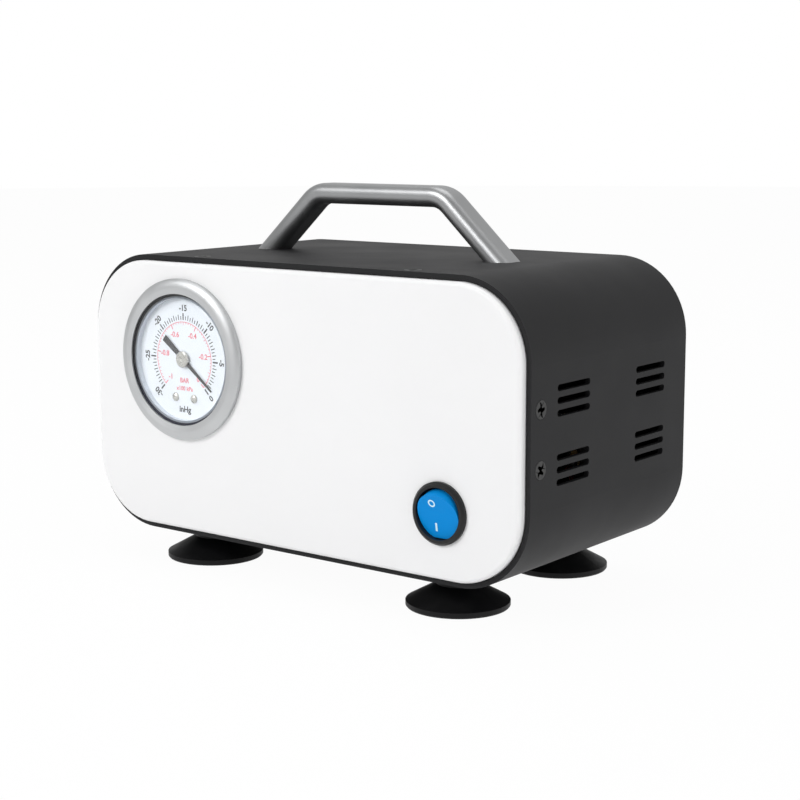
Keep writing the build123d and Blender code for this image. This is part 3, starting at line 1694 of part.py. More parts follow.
def make_power_inlet():
    half_socket = socket_width / 2
    low = -socket_height / 2
    high = socket_height / 2
    with BuildPart() as power_inlet:
        with BuildSketch(rear_plane(rear_face_y, inlet_x, inlet_z)):
            RectangleRounded(inlet_flange_width, inlet_flange_height, inlet_round)
        extrude(amount=inlet_flange_wall)
        chamfer(power_inlet.faces().sort_by(Axis.Y)[-1].edges(), length=0.6)
        with BuildSketch(rear_plane(rear_face_y, inlet_x, inlet_z)):
            RectangleRounded(inlet_body_width, inlet_body_height, inlet_round)
        extrude(amount=-inlet_body_depth)
        with BuildSketch(rear_plane(flange_y, inlet_x, socket_z)):
            Polygon(
                (-half_socket, low),
                (half_socket, low),
                (half_socket, high - socket_chamfer),
                (half_socket - socket_chamfer, high),
                (-half_socket + socket_chamfer, high),
                (-half_socket, high - socket_chamfer),
                align=None,
            )
        extrude(amount=-socket_depth, mode=Mode.SUBTRACT)
        with BuildSketch(rear_plane(flange_y, inlet_x, socket_z)):
            with Locations(*pin_spots):
                Rectangle(pin_width, pin_height)
        extrude(amount=-(inlet_body_depth + inlet_flange_wall), mode=Mode.SUBTRACT)
        with BuildSketch(rear_plane(flange_y, inlet_x, drawer_z)):
            Rectangle(drawer_front_width + 2 * drawer_gap, drawer_front_height + 2 * drawer_gap)
        extrude(amount=-drawer_front_wall, mode=Mode.SUBTRACT)
        with BuildSketch(rear_plane(flange_y, inlet_x, drawer_z)):
            Rectangle(drawer_width + 2 * drawer_gap, drawer_height + 2 * drawer_gap)
        extrude(amount=-(drawer_front_wall + drawer_depth + 0.5), mode=Mode.SUBTRACT)
    finish(power_inlet, "power_inlet")

    pin_front_y = flange_y - socket_depth + pin_length
    pin_back_y = rear_face_y - inlet_body_depth - pin_tail
    with BuildPart() as inlet_pins:
        with BuildSketch(rear_plane(pin_front_y, inlet_x, socket_z)):
            with Locations(*pin_spots):
                Rectangle(pin_width, pin_height)
        extrude(amount=-(pin_front_y - pin_back_y))
        tips = inlet_pins.faces().filter_by(Axis.Y).sort_by(Axis.Y)[-3:]
        chamfer(tips.edges(), length=0.5)
    finish(inlet_pins, "inlet_pins")


def make_fuse_drawer():
    fuse_y = flange_y - drawer_front_wall - drawer_depth / 2
    fuse_start = inlet_x - fuse_length / 2
    with BuildPart() as fuse_drawer:
        with BuildSketch(rear_plane(flange_y, inlet_x, drawer_z)):
            RectangleRounded(drawer_front_width, drawer_front_height, 0.8)
        extrude(amount=-drawer_front_wall)
        with BuildSketch(rear_plane(flange_y - drawer_front_wall, inlet_x, drawer_z)):
            Rectangle(drawer_width, drawer_height)
        extrude(amount=-drawer_depth)
        # finger ridge
        with BuildSketch(rear_plane(flange_y, inlet_x, drawer_z + drawer_front_height / 4)):
            RectangleRounded(drawer_front_width / 2, 1.6, 0.7)
        extrude(amount=0.9)
        # cradle of the fuse, open at the top
        with BuildSketch(side_plane(fuse_start - fuse_gap, fuse_y, drawer_z)):
            Circle(fuse_radius + fuse_gap)
            with Locations((0, drawer_height / 2)):
                Rectangle(2 * (fuse_radius + fuse_gap), drawer_height)
        extrude(amount=fuse_length + 2 * fuse_gap, mode=Mode.SUBTRACT)
    finish(fuse_drawer, "fuse_drawer")

    with BuildPart() as fuse:
        with BuildSketch(side_plane(fuse_start, fuse_y, drawer_z)):
            Circle(fuse_radius)
        extrude(amount=fuse_length)
    finish(fuse, "fuse")


def make_power_board():
    board_y = front_y + board_from_front
    board_z = floor_z + board_standoff
    top = board_z + board_thickness
    with BuildPart() as power_board:
        with BuildSketch(floor_plane(board_z, board_x, board_y)):
            RectangleRounded(board_width, board_depth, 2)
        extrude(amount=board_thickness)
        with BuildSketch(floor_plane(board_z)):
            with Locations(*standoff_places(0)):
                Circle(screw_radius + screw_clearance)
        extrude(amount=board_thickness, mode=Mode.SUBTRACT)
    finish(power_board, "power_board")

    with BuildPart() as board_components:
        # transformer, terminal blocks and heat sink
        for x, y, width, depth, height in (
            (-5, 2, 18, 16, 15),
            (mains_block_x, mains_block_y, block_width, block_depth, block_height),
            (output_block_x, output_block_y, block_width, block_depth, block_height),
            (9, -8, 3, 18, 18),
        ):
            with BuildSketch(floor_plane(top, board_x + x, board_y + y)):
                Rectangle(width, depth)
            extrude(amount=height)
        # smoothing capacitors
        for x, y, radius, height in ((16.5, -6, 4, 16), (-4, -14, 5, 12), (5, 16, 3, 9)):
            with BuildSketch(floor_plane(top, board_x + x, board_y + y)):
                Circle(radius)
            extrude(amount=height)
    finish(board_components, "board_components")

    with BuildPart() as board_standoffs:
        with BuildSketch(floor_plane(floor_z)):
            with Locations(*standoff_places(0)):
                RegularPolygon(standoff_radius, 6)
                Circle(screw_radius, mode=Mode.SUBTRACT)
        extrude(amount=board_standoff)
    finish(board_standoffs, "board_standoffs")


def wire(*points):
    """Insulated wire through these corners, each turned with the same bend."""
    with BuildPart() as lead:
        with BuildLine() as route:
            FilletPolyline(*points, radius=wire_bend)
        with BuildSketch(Plane(route.line @ 0, z_dir=route.line % 0)):
            Circle(wire_radius)
        sweep(path=route.line)
    return lead.part


def make_lead_wires():
    board_y = front_y + board_from_front
    board_top = floor_z + board_standoff + board_thickness
    block_top = board_top + block_height + wire_gap
    pin_y = rear_face_y - inlet_body_depth - pin_tail - wire_gap
    line_x, line_z = inlet_x - pin_pitch / 2, socket_z - pin_offset
    neutral_x = inlet_x + pin_pitch / 2
    mains_x = board_x + mains_block_x
    mains_y = board_y + mains_block_y
    first_y, second_y = mains_y + wire_spread, mains_y - wire_spread
    # line and neutral, from the blades of the inlet to the mains block
    line = wire(
        (line_x, pin_y, line_z),
        (line_x, first_y, line_z),
        (mains_x, first_y, block_top),
    )
    neutral = wire(
        (neutral_x, pin_y, line_z),
        (neutral_x, second_y, line_z),
        (mains_x, second_y, line_z),
        (mains_x, second_y, block_top),
    )
    # earth, down to a pad between the blocks
    earth_y = board_y + earth_pad_y
    earth_z = socket_z + pin_offset
    earth = wire(
        (inlet_x, pin_y, earth_z),
        (inlet_x, earth_y, earth_z),
        (inlet_x, earth_y, board_top + wire_gap),
    )
    # switch leads, over the board to the output block
    output_x = board_x + output_block_x
    output_y = board_y + output_block_y
    terminal_y = panel_front_y + switch_body_depth + terminal_length + wire_gap
    turn_y = terminal_y + switch_wire_back
    high_z = switch_z + terminal_half_pitch
    low_z = switch_z - terminal_half_pitch
    over_z = high_z + wire_spread + 2 * wire_radius
    near_y = turn_y - 3 * wire_spread
    upper = wire(
        (switch_x + wire_spread, terminal_y, high_z),
        (switch_x + wire_spread, turn_y, high_z),
        (output_x - wire_spread, turn_y, high_z),
        (output_x - wire_spread, output_y - wire_spread, high_z),
        (output_x - wire_spread, output_y - wire_spread, block_top),
    )
    lower = wire(
        (switch_x - wire_spread, terminal_y, low_z),
        (switch_x - wire_spread, near_y, low_z),
        (switch_x - wire_spread, near_y, over_z),
        (output_x + wire_spread, near_y, over_z),
        (output_x + wire_spread, output_y + wire_spread, over_z),
        (output_x + wire_spread, output_y + wire_spread, block_top),
    )
    # motor leads, along the floor under the bracket and up to the board
    tab_x = motor_end_x + 6 + wire_gap
    drop_x = tab_x + 3 * wire_bend
    under_z = floor_z + wire_floor_rise
    rise_x = pump_left_x - 3 * wire_bend
    pad_x = board_x + board_width / 2 - standoff_radius
    pad_z = board_top + wire_gap
    arch_z = block_top + 2 * wire_bend
    leads = []
    for tab_y, lane_y in (
        (pump_y - motor_screw_offset, output_y - block_depth / 2 - 2 * wire_bend),
        (pump_y + motor_screw_offset, output_y + block_depth / 2 + 2 * wire_radius),
    ):
        leads.append(
            wire(
                (tab_x, tab_y, shaft_z),
                (drop_x, tab_y, shaft_z),
                (drop_x, lane_y, shaft_z),
                (drop_x, lane_y, under_z),
                (rise_x, lane_y, under_z),
                (rise_x, lane_y, arch_z),
                (pad_x, lane_y, arch_z),
                (pad_x, lane_y, pad_z),
            )
        )
    with BuildPart() as lead_wires:
        for lead in (line, neutral, earth, upper, lower, *leads):
            add(lead)
    finish(lead_wires, "lead_wires")


# ============================================================================
# Build every piece
# ============================================================================
os.makedirs("parts", exist_ok=True)

make_sleeve()
make_front_panel()
make_front_panel_screws()
make_rear_panel()
make_rear_panel_screws()
make_handle()
make_feet()

make_gauge_bezel()
make_gauge_lens()
make_gauge_case()
make_gauge_dial()
make_pointer()
make_pinion()
make_sector()
make_movement_plates()
make_bourdon_tube()
make_link()
make_gauge_socket()
make_gauge_clamp()

make_switch()

make_crankcase()
make_crank()
make_rod()
make_pump_stack()
make_motor()
make_bracket()
make_inner_screws()
make_inner_nuts()

make_rear_barb(gauge_x, "vacuum_barb")
make_rear_barb(exhaust_x, "exhaust_barb")
make_barb_nuts()
make_tee()
make_hoses()

make_power_inlet()
make_fuse_drawer()
make_power_board()
make_lead_wires()
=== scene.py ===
# %% [markdown]
# # A small diaphragm vacuum pump
#
# The CAD model already has every solid piece in its right place.  This lesson gives the
# pieces their finishes, adds the print on the gauge and the switch, builds the screws
# again, and then lights and frames the pump the way a product picture is made.
#
# Each step starts with a few words like these, and the cell after it holds the code.

# %% Load the frame
import bpy
import bmesh
import json
from math import cos, pi, radians, sin, sqrt
from mathutils import Matrix, Vector


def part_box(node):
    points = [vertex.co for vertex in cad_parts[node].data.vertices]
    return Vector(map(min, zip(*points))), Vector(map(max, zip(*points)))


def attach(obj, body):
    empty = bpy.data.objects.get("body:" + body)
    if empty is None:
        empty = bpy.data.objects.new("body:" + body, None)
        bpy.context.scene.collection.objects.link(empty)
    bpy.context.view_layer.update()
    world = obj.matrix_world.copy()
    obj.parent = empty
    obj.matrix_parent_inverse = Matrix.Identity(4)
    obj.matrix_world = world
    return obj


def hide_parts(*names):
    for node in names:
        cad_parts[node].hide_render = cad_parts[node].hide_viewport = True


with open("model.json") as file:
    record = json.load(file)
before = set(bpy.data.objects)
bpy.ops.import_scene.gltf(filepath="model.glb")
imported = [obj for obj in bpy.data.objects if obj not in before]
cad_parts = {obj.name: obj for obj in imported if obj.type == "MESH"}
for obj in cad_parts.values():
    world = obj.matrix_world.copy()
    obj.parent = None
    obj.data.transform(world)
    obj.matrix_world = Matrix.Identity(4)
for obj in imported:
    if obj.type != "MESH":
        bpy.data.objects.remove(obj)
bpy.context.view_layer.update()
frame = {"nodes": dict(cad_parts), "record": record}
record = frame["record"]
print("nodes:", len(frame["nodes"]))

# %% [markdown]
# The pieces that are added later need places.  They all come from the boxes of the CAD
# nodes, so they stay right if the CAD model changes.  Blender counts in metres, and a
# millimetre is written as `mm` to keep the numbers readable.

# %% Places read from the CAD nodes
mm = 0.001


def middle(node):
    """Centre of a CAD node's box."""
    low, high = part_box(node)
    return Vector(((low[0] + high[0]) / 2, (low[1] + high[1]) / 2, (low[2] + high[2]) / 2))


gauge = middle("gauge_bezel")
dial_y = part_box("gauge_dial")[0][1]
panel_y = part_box("front_panel")[0][1]
switch = middle("switch_body")
sleeve_low, sleeve_high = [Vector(c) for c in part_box("housing_sleeve")]
print("gauge axis at", [round(v / mm, 2) for v in (gauge.x, gauge.z)])
print("switch axis at", [round(v / mm, 2) for v in (switch.x, switch.z)])

# %% [markdown]
# ## How a finish is built
#
# A real surface is never one flat colour.  Paint has a fine orange-peel texture, moulded
# plastic has a spark-eroded grain, and metal has marks from the tool that shaped it.  A
# small helper makes a material from the same four parts each time: two close colours mixed
# by a soft noise, a roughness that wanders a little, and a fine bump.  The noise reads
# Object coordinates, which are metres here, so a grain of half a millimetre is written as
# half a millimetre.

# %% A helper for shader nodes
def node(tree, kind, links=None, **values):
    """Adds a shader node; values set its properties or inputs, links feed its inputs."""
    made = tree.nodes.new(kind)
    for key, value in values.items():
        if hasattr(made, key):
            setattr(made, key, value)
        else:
            made.inputs[key.replace("_", " ")].default_value = value
    for key, source in (links or {}).items():
        tree.links.new(source, made.inputs[key])
    return made


def rgba(colour):
    """A colour with its alpha added."""
    return (*colour[:3], 1.0)


# %% [markdown]
# The second helper builds the whole finish.  What is the same all over, such as the
# metallic share, is set on the shader's own input, because an export keeps it only there.
# A Mix node has several sockets with the same name, so its colour ones go by number.

# %% A helper for a whole finish
mix_first, mix_second, mix_result = 6, 7, 2


def finish(name, colour, second, metallic=0.0, roughness=0.5, wander=0.08, patch=30 * mm,
           grain=0.5 * mm, depth=0.02 * mm, specular=0.5, coat=0.0):
    """A material with two close colours, a wandering roughness and a fine grain."""
    material = bpy.data.materials.new(name)
    material.use_nodes = True
    tree = material.node_tree
    shader = tree.nodes["Principled BSDF"]
    shader.inputs["Metallic"].default_value = metallic
    shader.inputs["Specular IOR Level"].default_value = specular
    shader.inputs["Coat Weight"].default_value = coat
    place = node(tree, "ShaderNodeTexCoord").outputs["Object"]
    patches = node(tree, "ShaderNodeTexNoise", {"Vector": place}, Scale=1 / patch, Detail=3.0)
    mix = node(tree, "ShaderNodeMix", {"Factor": patches.outputs["Fac"]}, data_type="RGBA")
    mix.inputs[mix_first].default_value = rgba(colour)
    mix.inputs[mix_second].default_value = rgba(second)
    tree.links.new(mix.outputs[mix_result], shader.inputs["Base Color"])
    grains = node(tree, "ShaderNodeTexNoise", {"Vector": place}, Scale=1 / grain, Detail=2.0)
    spread = node(tree, "ShaderNodeMapRange", {"Value": patches.outputs["Fac"]},
                  From_Min=0.3, From_Max=0.7,
                  To_Min=roughness - wander, To_Max=roughness + wander)
    tree.links.new(spread.outputs["Result"], shader.inputs["Roughness"])
    bump = node(tree, "ShaderNodeBump", {"Height": grains.outputs["Fac"]},
                Strength=0.6, Distance=depth)
    tree.links.new(bump.outputs["Normal"], shader.inputs["Normal"])
    print(f"{name}: grain {grain / mm:.2f} mm, roughness {roughness:.2f}")
    return material


# %% [markdown]
# ## Paint
#
# The housing is folded sheet steel with a black powder coat.  Powder melts into a film with
# tiny soft hills, about half a millimetre apart, which break a highlight into a dull sheen.
# The front panel is sprayed white and rubbed smooth, so its grain is flatter; the rear one
# has the housing's coat.  The screws' black oxide, the dial's enamel and the pointer's
# lacquer use the same helper.

# %% Coats and paints
finishes = {}
finishes["painted_steel_black"] = finish(
    "powder_coat_black", (0.009, 0.009, 0.010), (0.013, 0.013, 0.014),
    roughness=0.58, wander=0.04, grain=0.45 * mm, depth=0.03 * mm, specular=0.24)
finishes["painted_white"] = finish(
    "white_paint", (0.84, 0.84, 0.845), (0.87, 0.87, 0.875),
    roughness=0.38, wander=0.03, patch=60 * mm, grain=0.8 * mm, depth=0.006 * mm, specular=0.3)
finishes["screw_black"] = finish(
    "black_oxide", (0.007, 0.007, 0.007), (0.012, 0.012, 0.012), metallic=0.0,
    roughness=0.42, wander=0.08, patch=2 * mm, grain=0.12 * mm, depth=0.01 * mm)
finishes["dial_white"] = finish(
    "dial_enamel", (0.70, 0.73, 0.775), (0.74, 0.765, 0.80),
    roughness=0.45, wander=0.03, patch=12 * mm, grain=0.3 * mm, depth=0.003 * mm)
finishes["pointer_black"] = finish(
    "pointer_lacquer", (0.010, 0.010, 0.011), (0.018, 0.018, 0.019),
    roughness=0.5, wander=0.05, patch=4 * mm, grain=0.15 * mm, depth=0.005 * mm)

# %% [markdown]
# ## Bare metals
#
# The handle is cast aluminium, blasted with fine beads and anodised: it has no direction,
# only a soft satin gleam.  Zinc plate, brass and turned parts use the same helper with other
# colours.  A metal's colour is its reflection, so it is set much lighter than it looks.

# %% Metals without a direction
finishes["handle_aluminium"] = finish(
    "satin_aluminium", (0.35, 0.355, 0.36), (0.41, 0.415, 0.42), metallic=1.0,
    roughness=0.40, wander=0.04, patch=18 * mm, grain=0.22 * mm, depth=0.012 * mm)
finishes["zinc_steel"] = finish(
    "bright_zinc", (0.56, 0.58, 0.60), (0.66, 0.66, 0.65), metallic=1.0,
    roughness=0.32, wander=0.10, patch=6 * mm, grain=0.3 * mm, depth=0.008 * mm)
finishes["brass"] = finish(
    "machined_brass", (0.72, 0.50, 0.20), (0.80, 0.60, 0.28), metallic=1.0,
    roughness=0.26, wander=0.08, patch=5 * mm, grain=0.2 * mm, depth=0.006 * mm)
finishes["hub_metal"] = finish(
    "turned_hub", (0.50, 0.49, 0.45), (0.62, 0.60, 0.56), metallic=1.0,
    roughness=0.30, wander=0.08, patch=2 * mm, grain=0.1 * mm, depth=0.004 * mm)
finishes["tinned_copper"] = finish(
    "tinned_copper", (0.64, 0.62, 0.57), (0.74, 0.72, 0.68), metallic=1.0,
    roughness=0.30, wander=0.08, patch=3 * mm, grain=0.2 * mm, depth=0.005 * mm)
finishes["cast_aluminium"] = finish(
    "die_cast_aluminium", (0.42, 0.43, 0.44), (0.55, 0.56, 0.57), metallic=1.0,
    roughness=0.48, wander=0.10, patch=9 * mm, grain=0.6 * mm, depth=0.04 * mm)
finishes["magnet"] = finish(
    "sintered_magnet", (0.05, 0.05, 0.052), (0.08, 0.08, 0.083), metallic=0.4,
    roughness=0.6, wander=0.08, patch=3 * mm, grain=0.2 * mm, depth=0.02 * mm)

# %% [markdown]
# ## Metals with a direction
#
# The bezel is spun from stainless strip and brushed while it turns, so its scratches run in
# circles round the gauge axis.  A noise that hardly changes along a circle draws them: the
# place is measured from the axis, its radius is divided by the width of one scratch, and
# the angle counts for little.  The rotor's stack of sheets needs no direction; the first
# helper with a coarser grain does for it.

# %% Circular brushing
def brushed(material, centre, across, along, depth):
    """Replaces a finish's grain by scratches round an axis along Y.

    across is the width of a scratch, along how much the noise changes round the circle.
    """
    tree = material.node_tree
    bump = next(n for n in tree.nodes if n.type == "BUMP")
    place = next(n for n in tree.nodes if n.type == "TEX_COORD").outputs["Object"]
    moved = node(tree, "ShaderNodeMapping", {"Vector": place})
    moved.inputs["Location"].default_value = (-centre.x, -centre.y, -centre.z)
    split = node(tree, "ShaderNodeSeparateXYZ", {"Vector": moved.outputs["Vector"]})
    flat = node(tree, "ShaderNodeCombineXYZ", {"X": split.outputs["X"], "Y": split.outputs["Z"]})
    reach = node(tree, "ShaderNodeVectorMath", {0: flat.outputs["Vector"]}, operation="LENGTH")
    turn = node(tree, "ShaderNodeVectorMath", {0: flat.outputs["Vector"]}, operation="NORMALIZE")
    slow = node(tree, "ShaderNodeVectorMath", {0: turn.outputs["Vector"]}, operation="SCALE")
    slow.inputs["Scale"].default_value = along
    radius = node(tree, "ShaderNodeMath", {0: reach.outputs["Value"]}, operation="MULTIPLY")
    radius.inputs[1].default_value = 1 / across
    back = node(tree, "ShaderNodeMath", {0: split.outputs["Y"]}, operation="MULTIPLY_ADD")
    back.inputs[1].default_value = 1 / across
    tree.links.new(radius.outputs[0], back.inputs[2])
    lift = node(tree, "ShaderNodeCombineXYZ", {"Z": back.outputs[0]})
    total = node(tree, "ShaderNodeVectorMath",
                 {0: slow.outputs["Vector"], 1: lift.outputs["Vector"]}, operation="ADD")
    lines = node(tree, "ShaderNodeTexNoise", {"Vector": total.outputs["Vector"]},
                 Scale=1.0, Detail=2.0)
    tree.links.new(lines.outputs["Fac"], bump.inputs["Height"])
    bump.inputs["Distance"].default_value = depth


finishes["stainless"] = finish(
    "brushed_stainless", (0.50, 0.51, 0.52), (0.63, 0.64, 0.645), metallic=1.0,
    roughness=0.46, wander=0.06, patch=14 * mm)
brushed(finishes["stainless"], gauge, across=0.12 * mm, along=2.5, depth=0.010 * mm)
finishes["lamination"] = finish(
    "rotor_sheets", (0.20, 0.20, 0.21), (0.34, 0.33, 0.33), metallic=0.9,
    roughness=0.45, wander=0.08, patch=1.2 * mm, grain=0.5 * mm, depth=0.05 * mm)
print("brushed round the gauge axis")

# %% [markdown]
# ## Rubber and plastic
#
# The suction feet are soft black rubber: almost no sheen, a slight bloom.  The switch is
# two plastics, a black ring with a fine eroded grain and a smooth blue rocker.  Hose,
# gasket and board finishes only show through the slots or when a pose opens something.

# %% Rubbers and plastics
finishes["foot_rubber"] = finish(
    "black_rubber", (0.003, 0.003, 0.0035), (0.006, 0.006, 0.0065),
    roughness=0.5, wander=0.08, patch=8 * mm, grain=0.35 * mm, depth=0.012 * mm, specular=0.2)
finishes["black_plastic"] = finish(
    "black_plastic", (0.012, 0.012, 0.012), (0.018, 0.018, 0.018),
    roughness=0.38, wander=0.05, patch=7 * mm, grain=0.18 * mm, depth=0.012 * mm, specular=0.25)
finishes["rocker_blue"] = finish(
    "blue_plastic", (0.001, 0.245, 0.67), (0.002, 0.265, 0.71),
    roughness=0.42, wander=0.05, patch=6 * mm, grain=0.4 * mm, depth=0.003 * mm, specular=0.08)
finishes["grey_plastic"] = finish(
    "glass_filled_plastic", (0.10, 0.105, 0.11), (0.14, 0.145, 0.15),
    roughness=0.5, wander=0.08, patch=6 * mm, grain=0.4 * mm, depth=0.02 * mm)
finishes["silicone_hose"] = finish(
    "silicone_hose", (0.55, 0.55, 0.50), (0.66, 0.65, 0.60),
    roughness=0.42, wander=0.06, patch=10 * mm, grain=0.6 * mm, depth=0.01 * mm)
finishes["board_green"] = finish(
    "solder_mask", (0.008, 0.10, 0.04), (0.012, 0.15, 0.06),
    roughness=0.35, wander=0.06, patch=4 * mm, grain=0.5 * mm, depth=0.01 * mm)
finishes["component_mix"] = finish(
    "component_plastic", (0.02, 0.022, 0.03), (0.05, 0.05, 0.06),
    roughness=0.45, wander=0.08, patch=5 * mm, grain=0.3 * mm, depth=0.015 * mm)
finishes["wire_pvc"] = finish(
    "wire_sleeve", (0.30, 0.02, 0.02), (0.36, 0.03, 0.03),
    roughness=0.35, wander=0.05, patch=8 * mm, grain=0.4 * mm, depth=0.006 * mm)

# %% [markdown]
# ## A seal in two colours
#
# The gauge's seal is a navy rubber ring.  Its inner part carries a painted reflection of the
# white dial in a pale blue-white.  It is one mesh, so the distance from the gauge axis chooses
# the colour, with a step a fifth of a millimetre wide.
# The pump's diaphragm and gasket, out of sight, are made of the same rubber.

# %% Navy rubber, with a painted reflection of the dial near the gauge axis
def paint_dial_reflection(material, axis, start, end, colour):
    """Paints a pale reflection colour on a finish near an axis along Y, changing from start to
    end.
    """
    tree = material.node_tree
    first_mix = next(n for n in tree.nodes if n.type == "MIX")
    place = node(tree, "ShaderNodeTexCoord").outputs["Object"]
    away = node(tree, "ShaderNodeVectorMath", {0: place}, operation="SUBTRACT")
    away.inputs[1].default_value = axis
    flat = node(tree, "ShaderNodeVectorMath", {0: away.outputs["Vector"]},
                operation="MULTIPLY")
    flat.inputs[1].default_value = (1, 0, 1)
    reach = node(tree, "ShaderNodeVectorMath", {0: flat.outputs["Vector"]},
                 operation="LENGTH")
    zone = node(tree, "ShaderNodeMapRange", {"Value": reach.outputs["Value"]},
                From_Min=start, From_Max=end)
    paint = node(tree, "ShaderNodeMix", {"Factor": zone.outputs["Result"]}, data_type="RGBA")
    paint.inputs[mix_first].default_value = rgba(colour)
    tree.links.new(first_mix.outputs[mix_result], paint.inputs[mix_second])
    tree.links.new(paint.outputs[mix_result],
                   tree.nodes["Principled BSDF"].inputs["Base Color"])


finishes["seal_rubber"] = finish(
    "seal_rubber", (0.010, 0.013, 0.045), (0.014, 0.018, 0.055),
    roughness=0.4, wander=0.06, patch=5 * mm, grain=0.3 * mm, depth=0.01 * mm, specular=0.2)
# Within 25.1 mm of the gauge axis the seal shows a painted reflection of the white dial, not its
# rubber colour.
paint_dial_reflection(finishes["seal_rubber"], gauge, 25.1 * mm, 25.3 * mm, (0.62, 0.66, 0.72))

# %% [markdown]
# ## Glass
#
# The gauge has a flat pane with polished faces.  A Principled shader with full transmission
# bends and reflects as glass does.  Lamps can't be traced backward through it, so the dial
# would go dark: for shadow rays only, a Transparent shader takes its place.

# %% Clear glass
def glass(name, tint, roughness):
    """Polished glass that lets lamp light through to what is behind it."""
    material = finish(name, tint, tint, roughness=roughness + 0.01, wander=0.01,
                      patch=25 * mm, grain=9 * mm, depth=0.002 * mm)
    tree = material.node_tree
    shader = tree.nodes["Principled BSDF"]
    shader.inputs["Transmission Weight"].default_value = 1.0
    shader.inputs["IOR"].default_value = 1.5
    clear = node(tree, "ShaderNodeBsdfTransparent")
    path = node(tree, "ShaderNodeLightPath")
    mix = node(tree, "ShaderNodeMixShader")
    tree.links.new(path.outputs["Is Shadow Ray"], mix.inputs[0])
    tree.links.new(shader.outputs[0], mix.inputs[1])
    tree.links.new(clear.outputs[0], mix.inputs[2])
    tree.links.new(mix.outputs[0], tree.nodes["Material Output"].inputs["Surface"])
    return material


finishes["clear_glass"] = glass("gauge_glass", (0.97, 0.985, 0.99), 0.0)
finishes["fuse_glass"] = glass("fuse_glass", (0.85, 0.88, 0.87), 0.05)

# %% [markdown]
# ## Dressing the CAD nodes
#
# The record names one material slot for each node.  Each CAD object gets the finish of its
# slot, and the loop prints any slot that was forgotten.

# %% Give every CAD node its finish
missing = []
for entry in record["subparts"]:
    thing = frame["nodes"][entry["node"]]
    made = finishes.get(entry["material_slot"])
    if made is None:
        missing.append(entry["material_slot"])
        continue
    thing.data.materials.clear()
    thing.data.materials.append(made)
print("dressed", len(record["subparts"]) - len(missing), "nodes; forgotten:", missing)

# %% [markdown]
# ## Making a new piece
#
# New pieces are made with bmesh, Blender's mesh toolkit.  This helper turns a finished
# bmesh into an object, points its faces outward, gives it its finish and lets it ride on
# the CAD body that carries it, so that it moves in every pose.

# %% A helper for new pieces
def piece(name, shape, material, body, smooth=False):
    """Makes an object of a bmesh and lets it ride on a CAD body."""
    bmesh.ops.remove_doubles(shape, verts=shape.verts, dist=1e-7)
    bmesh.ops.recalc_face_normals(shape, faces=shape.faces)
    for face in shape.faces:
        face.smooth = smooth
    mesh = bpy.data.meshes.new(name)
    shape.to_mesh(mesh)
    shape.free()
    made = bpy.data.objects.new(name, mesh)
    bpy.context.scene.collection.objects.link(made)
    mesh.materials.append(material)
    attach(made, body)
    print(name, "with", len(mesh.polygons), "faces rides on", body)
    return made


# %% [markdown]
# ## Ink
#
# The dial is screen printed in black and red, and the rocker's two signs are hot stamped in
# a pale blue-white.  Ink is a film of a few hundredths of a millimetre, so each mark is
# made as a very thin plate lying on its surface.

# %% Inks
black_ink = finish("black_ink", (0.008, 0.008, 0.010), (0.014, 0.014, 0.018),
                   roughness=0.5, wander=0.04, patch=3 * mm, grain=0.1 * mm, depth=0.002 * mm)
red_ink = finish("red_ink", (0.68, 0.13, 0.17), (0.74, 0.17, 0.21),
                 roughness=0.5, wander=0.04, patch=3 * mm, grain=0.1 * mm, depth=0.002 * mm)
pale_ink = finish("pale_ink", (0.62, 0.86, 0.93), (0.70, 0.90, 0.95),
                  roughness=0.4, wander=0.04, patch=3 * mm, grain=0.1 * mm, depth=0.002 * mm)

# %% [markdown]
# ## The dial's scales
#
# The scale runs three quarters of a turn.  Zero is at the lower right, and vacuum grows
# counter-clockwise, over the top to the lower left.  The outer black scale counts inches of
# mercury down to -30, the inner red one bar down to -1.  A tick is a cube made by
# `create_cube`, stretched and turned into place by one matrix.

# %% A helper for ticks
scale_start = -45.0
scale_span = 270.0
ink = 0.03 * mm
ink_y = dial_y - ink / 2


def dial_turn(share):
    """Matrix that turns +X to a share of the scale, seen from the front."""
    angle = radians(scale_start + scale_span * share)
    return Matrix.Translation((gauge.x, ink_y, gauge.z)) @ Matrix.Rotation(-angle, 4, "Y")


def tick(shape, share, inner, outer, width):
    """Adds one printed line from an inner to an outer radius."""
    place = Matrix.Translation(((inner + outer) / 2, 0, 0))
    size = Matrix.Diagonal((outer - inner, ink, width, 1))
    bmesh.ops.create_cube(shape, size=1, matrix=dial_turn(share) @ place @ size)


# %% [markdown]
# The black ticks stand on one circle and differ at their outer ends: a long and thick one
# every five inches, a middle one at each inch, a short one between.

# %% Black ticks
black_steps = 60
black_foot = 15.6 * mm
black_main, black_middle, black_short = 18.3 * mm, 17.7 * mm, 17.1 * mm
black_thick, black_thin = 0.62 * mm, 0.36 * mm
black_marks = bmesh.new()
for step in range(black_steps + 1):
    main = step % 10 == 0
    outer = black_main if main else (black_middle if step % 2 == 0 else black_short)
    tick(black_marks, step / black_steps, black_foot, outer,
         black_thick if main else black_thin)
piece("dial_black_ticks", black_marks, black_ink, "housing")

# %% [markdown]
# The red ticks hang from a thin red circle, so they differ at their inner ends.  The circle
# is made of short straight plates, enough of them to look round.

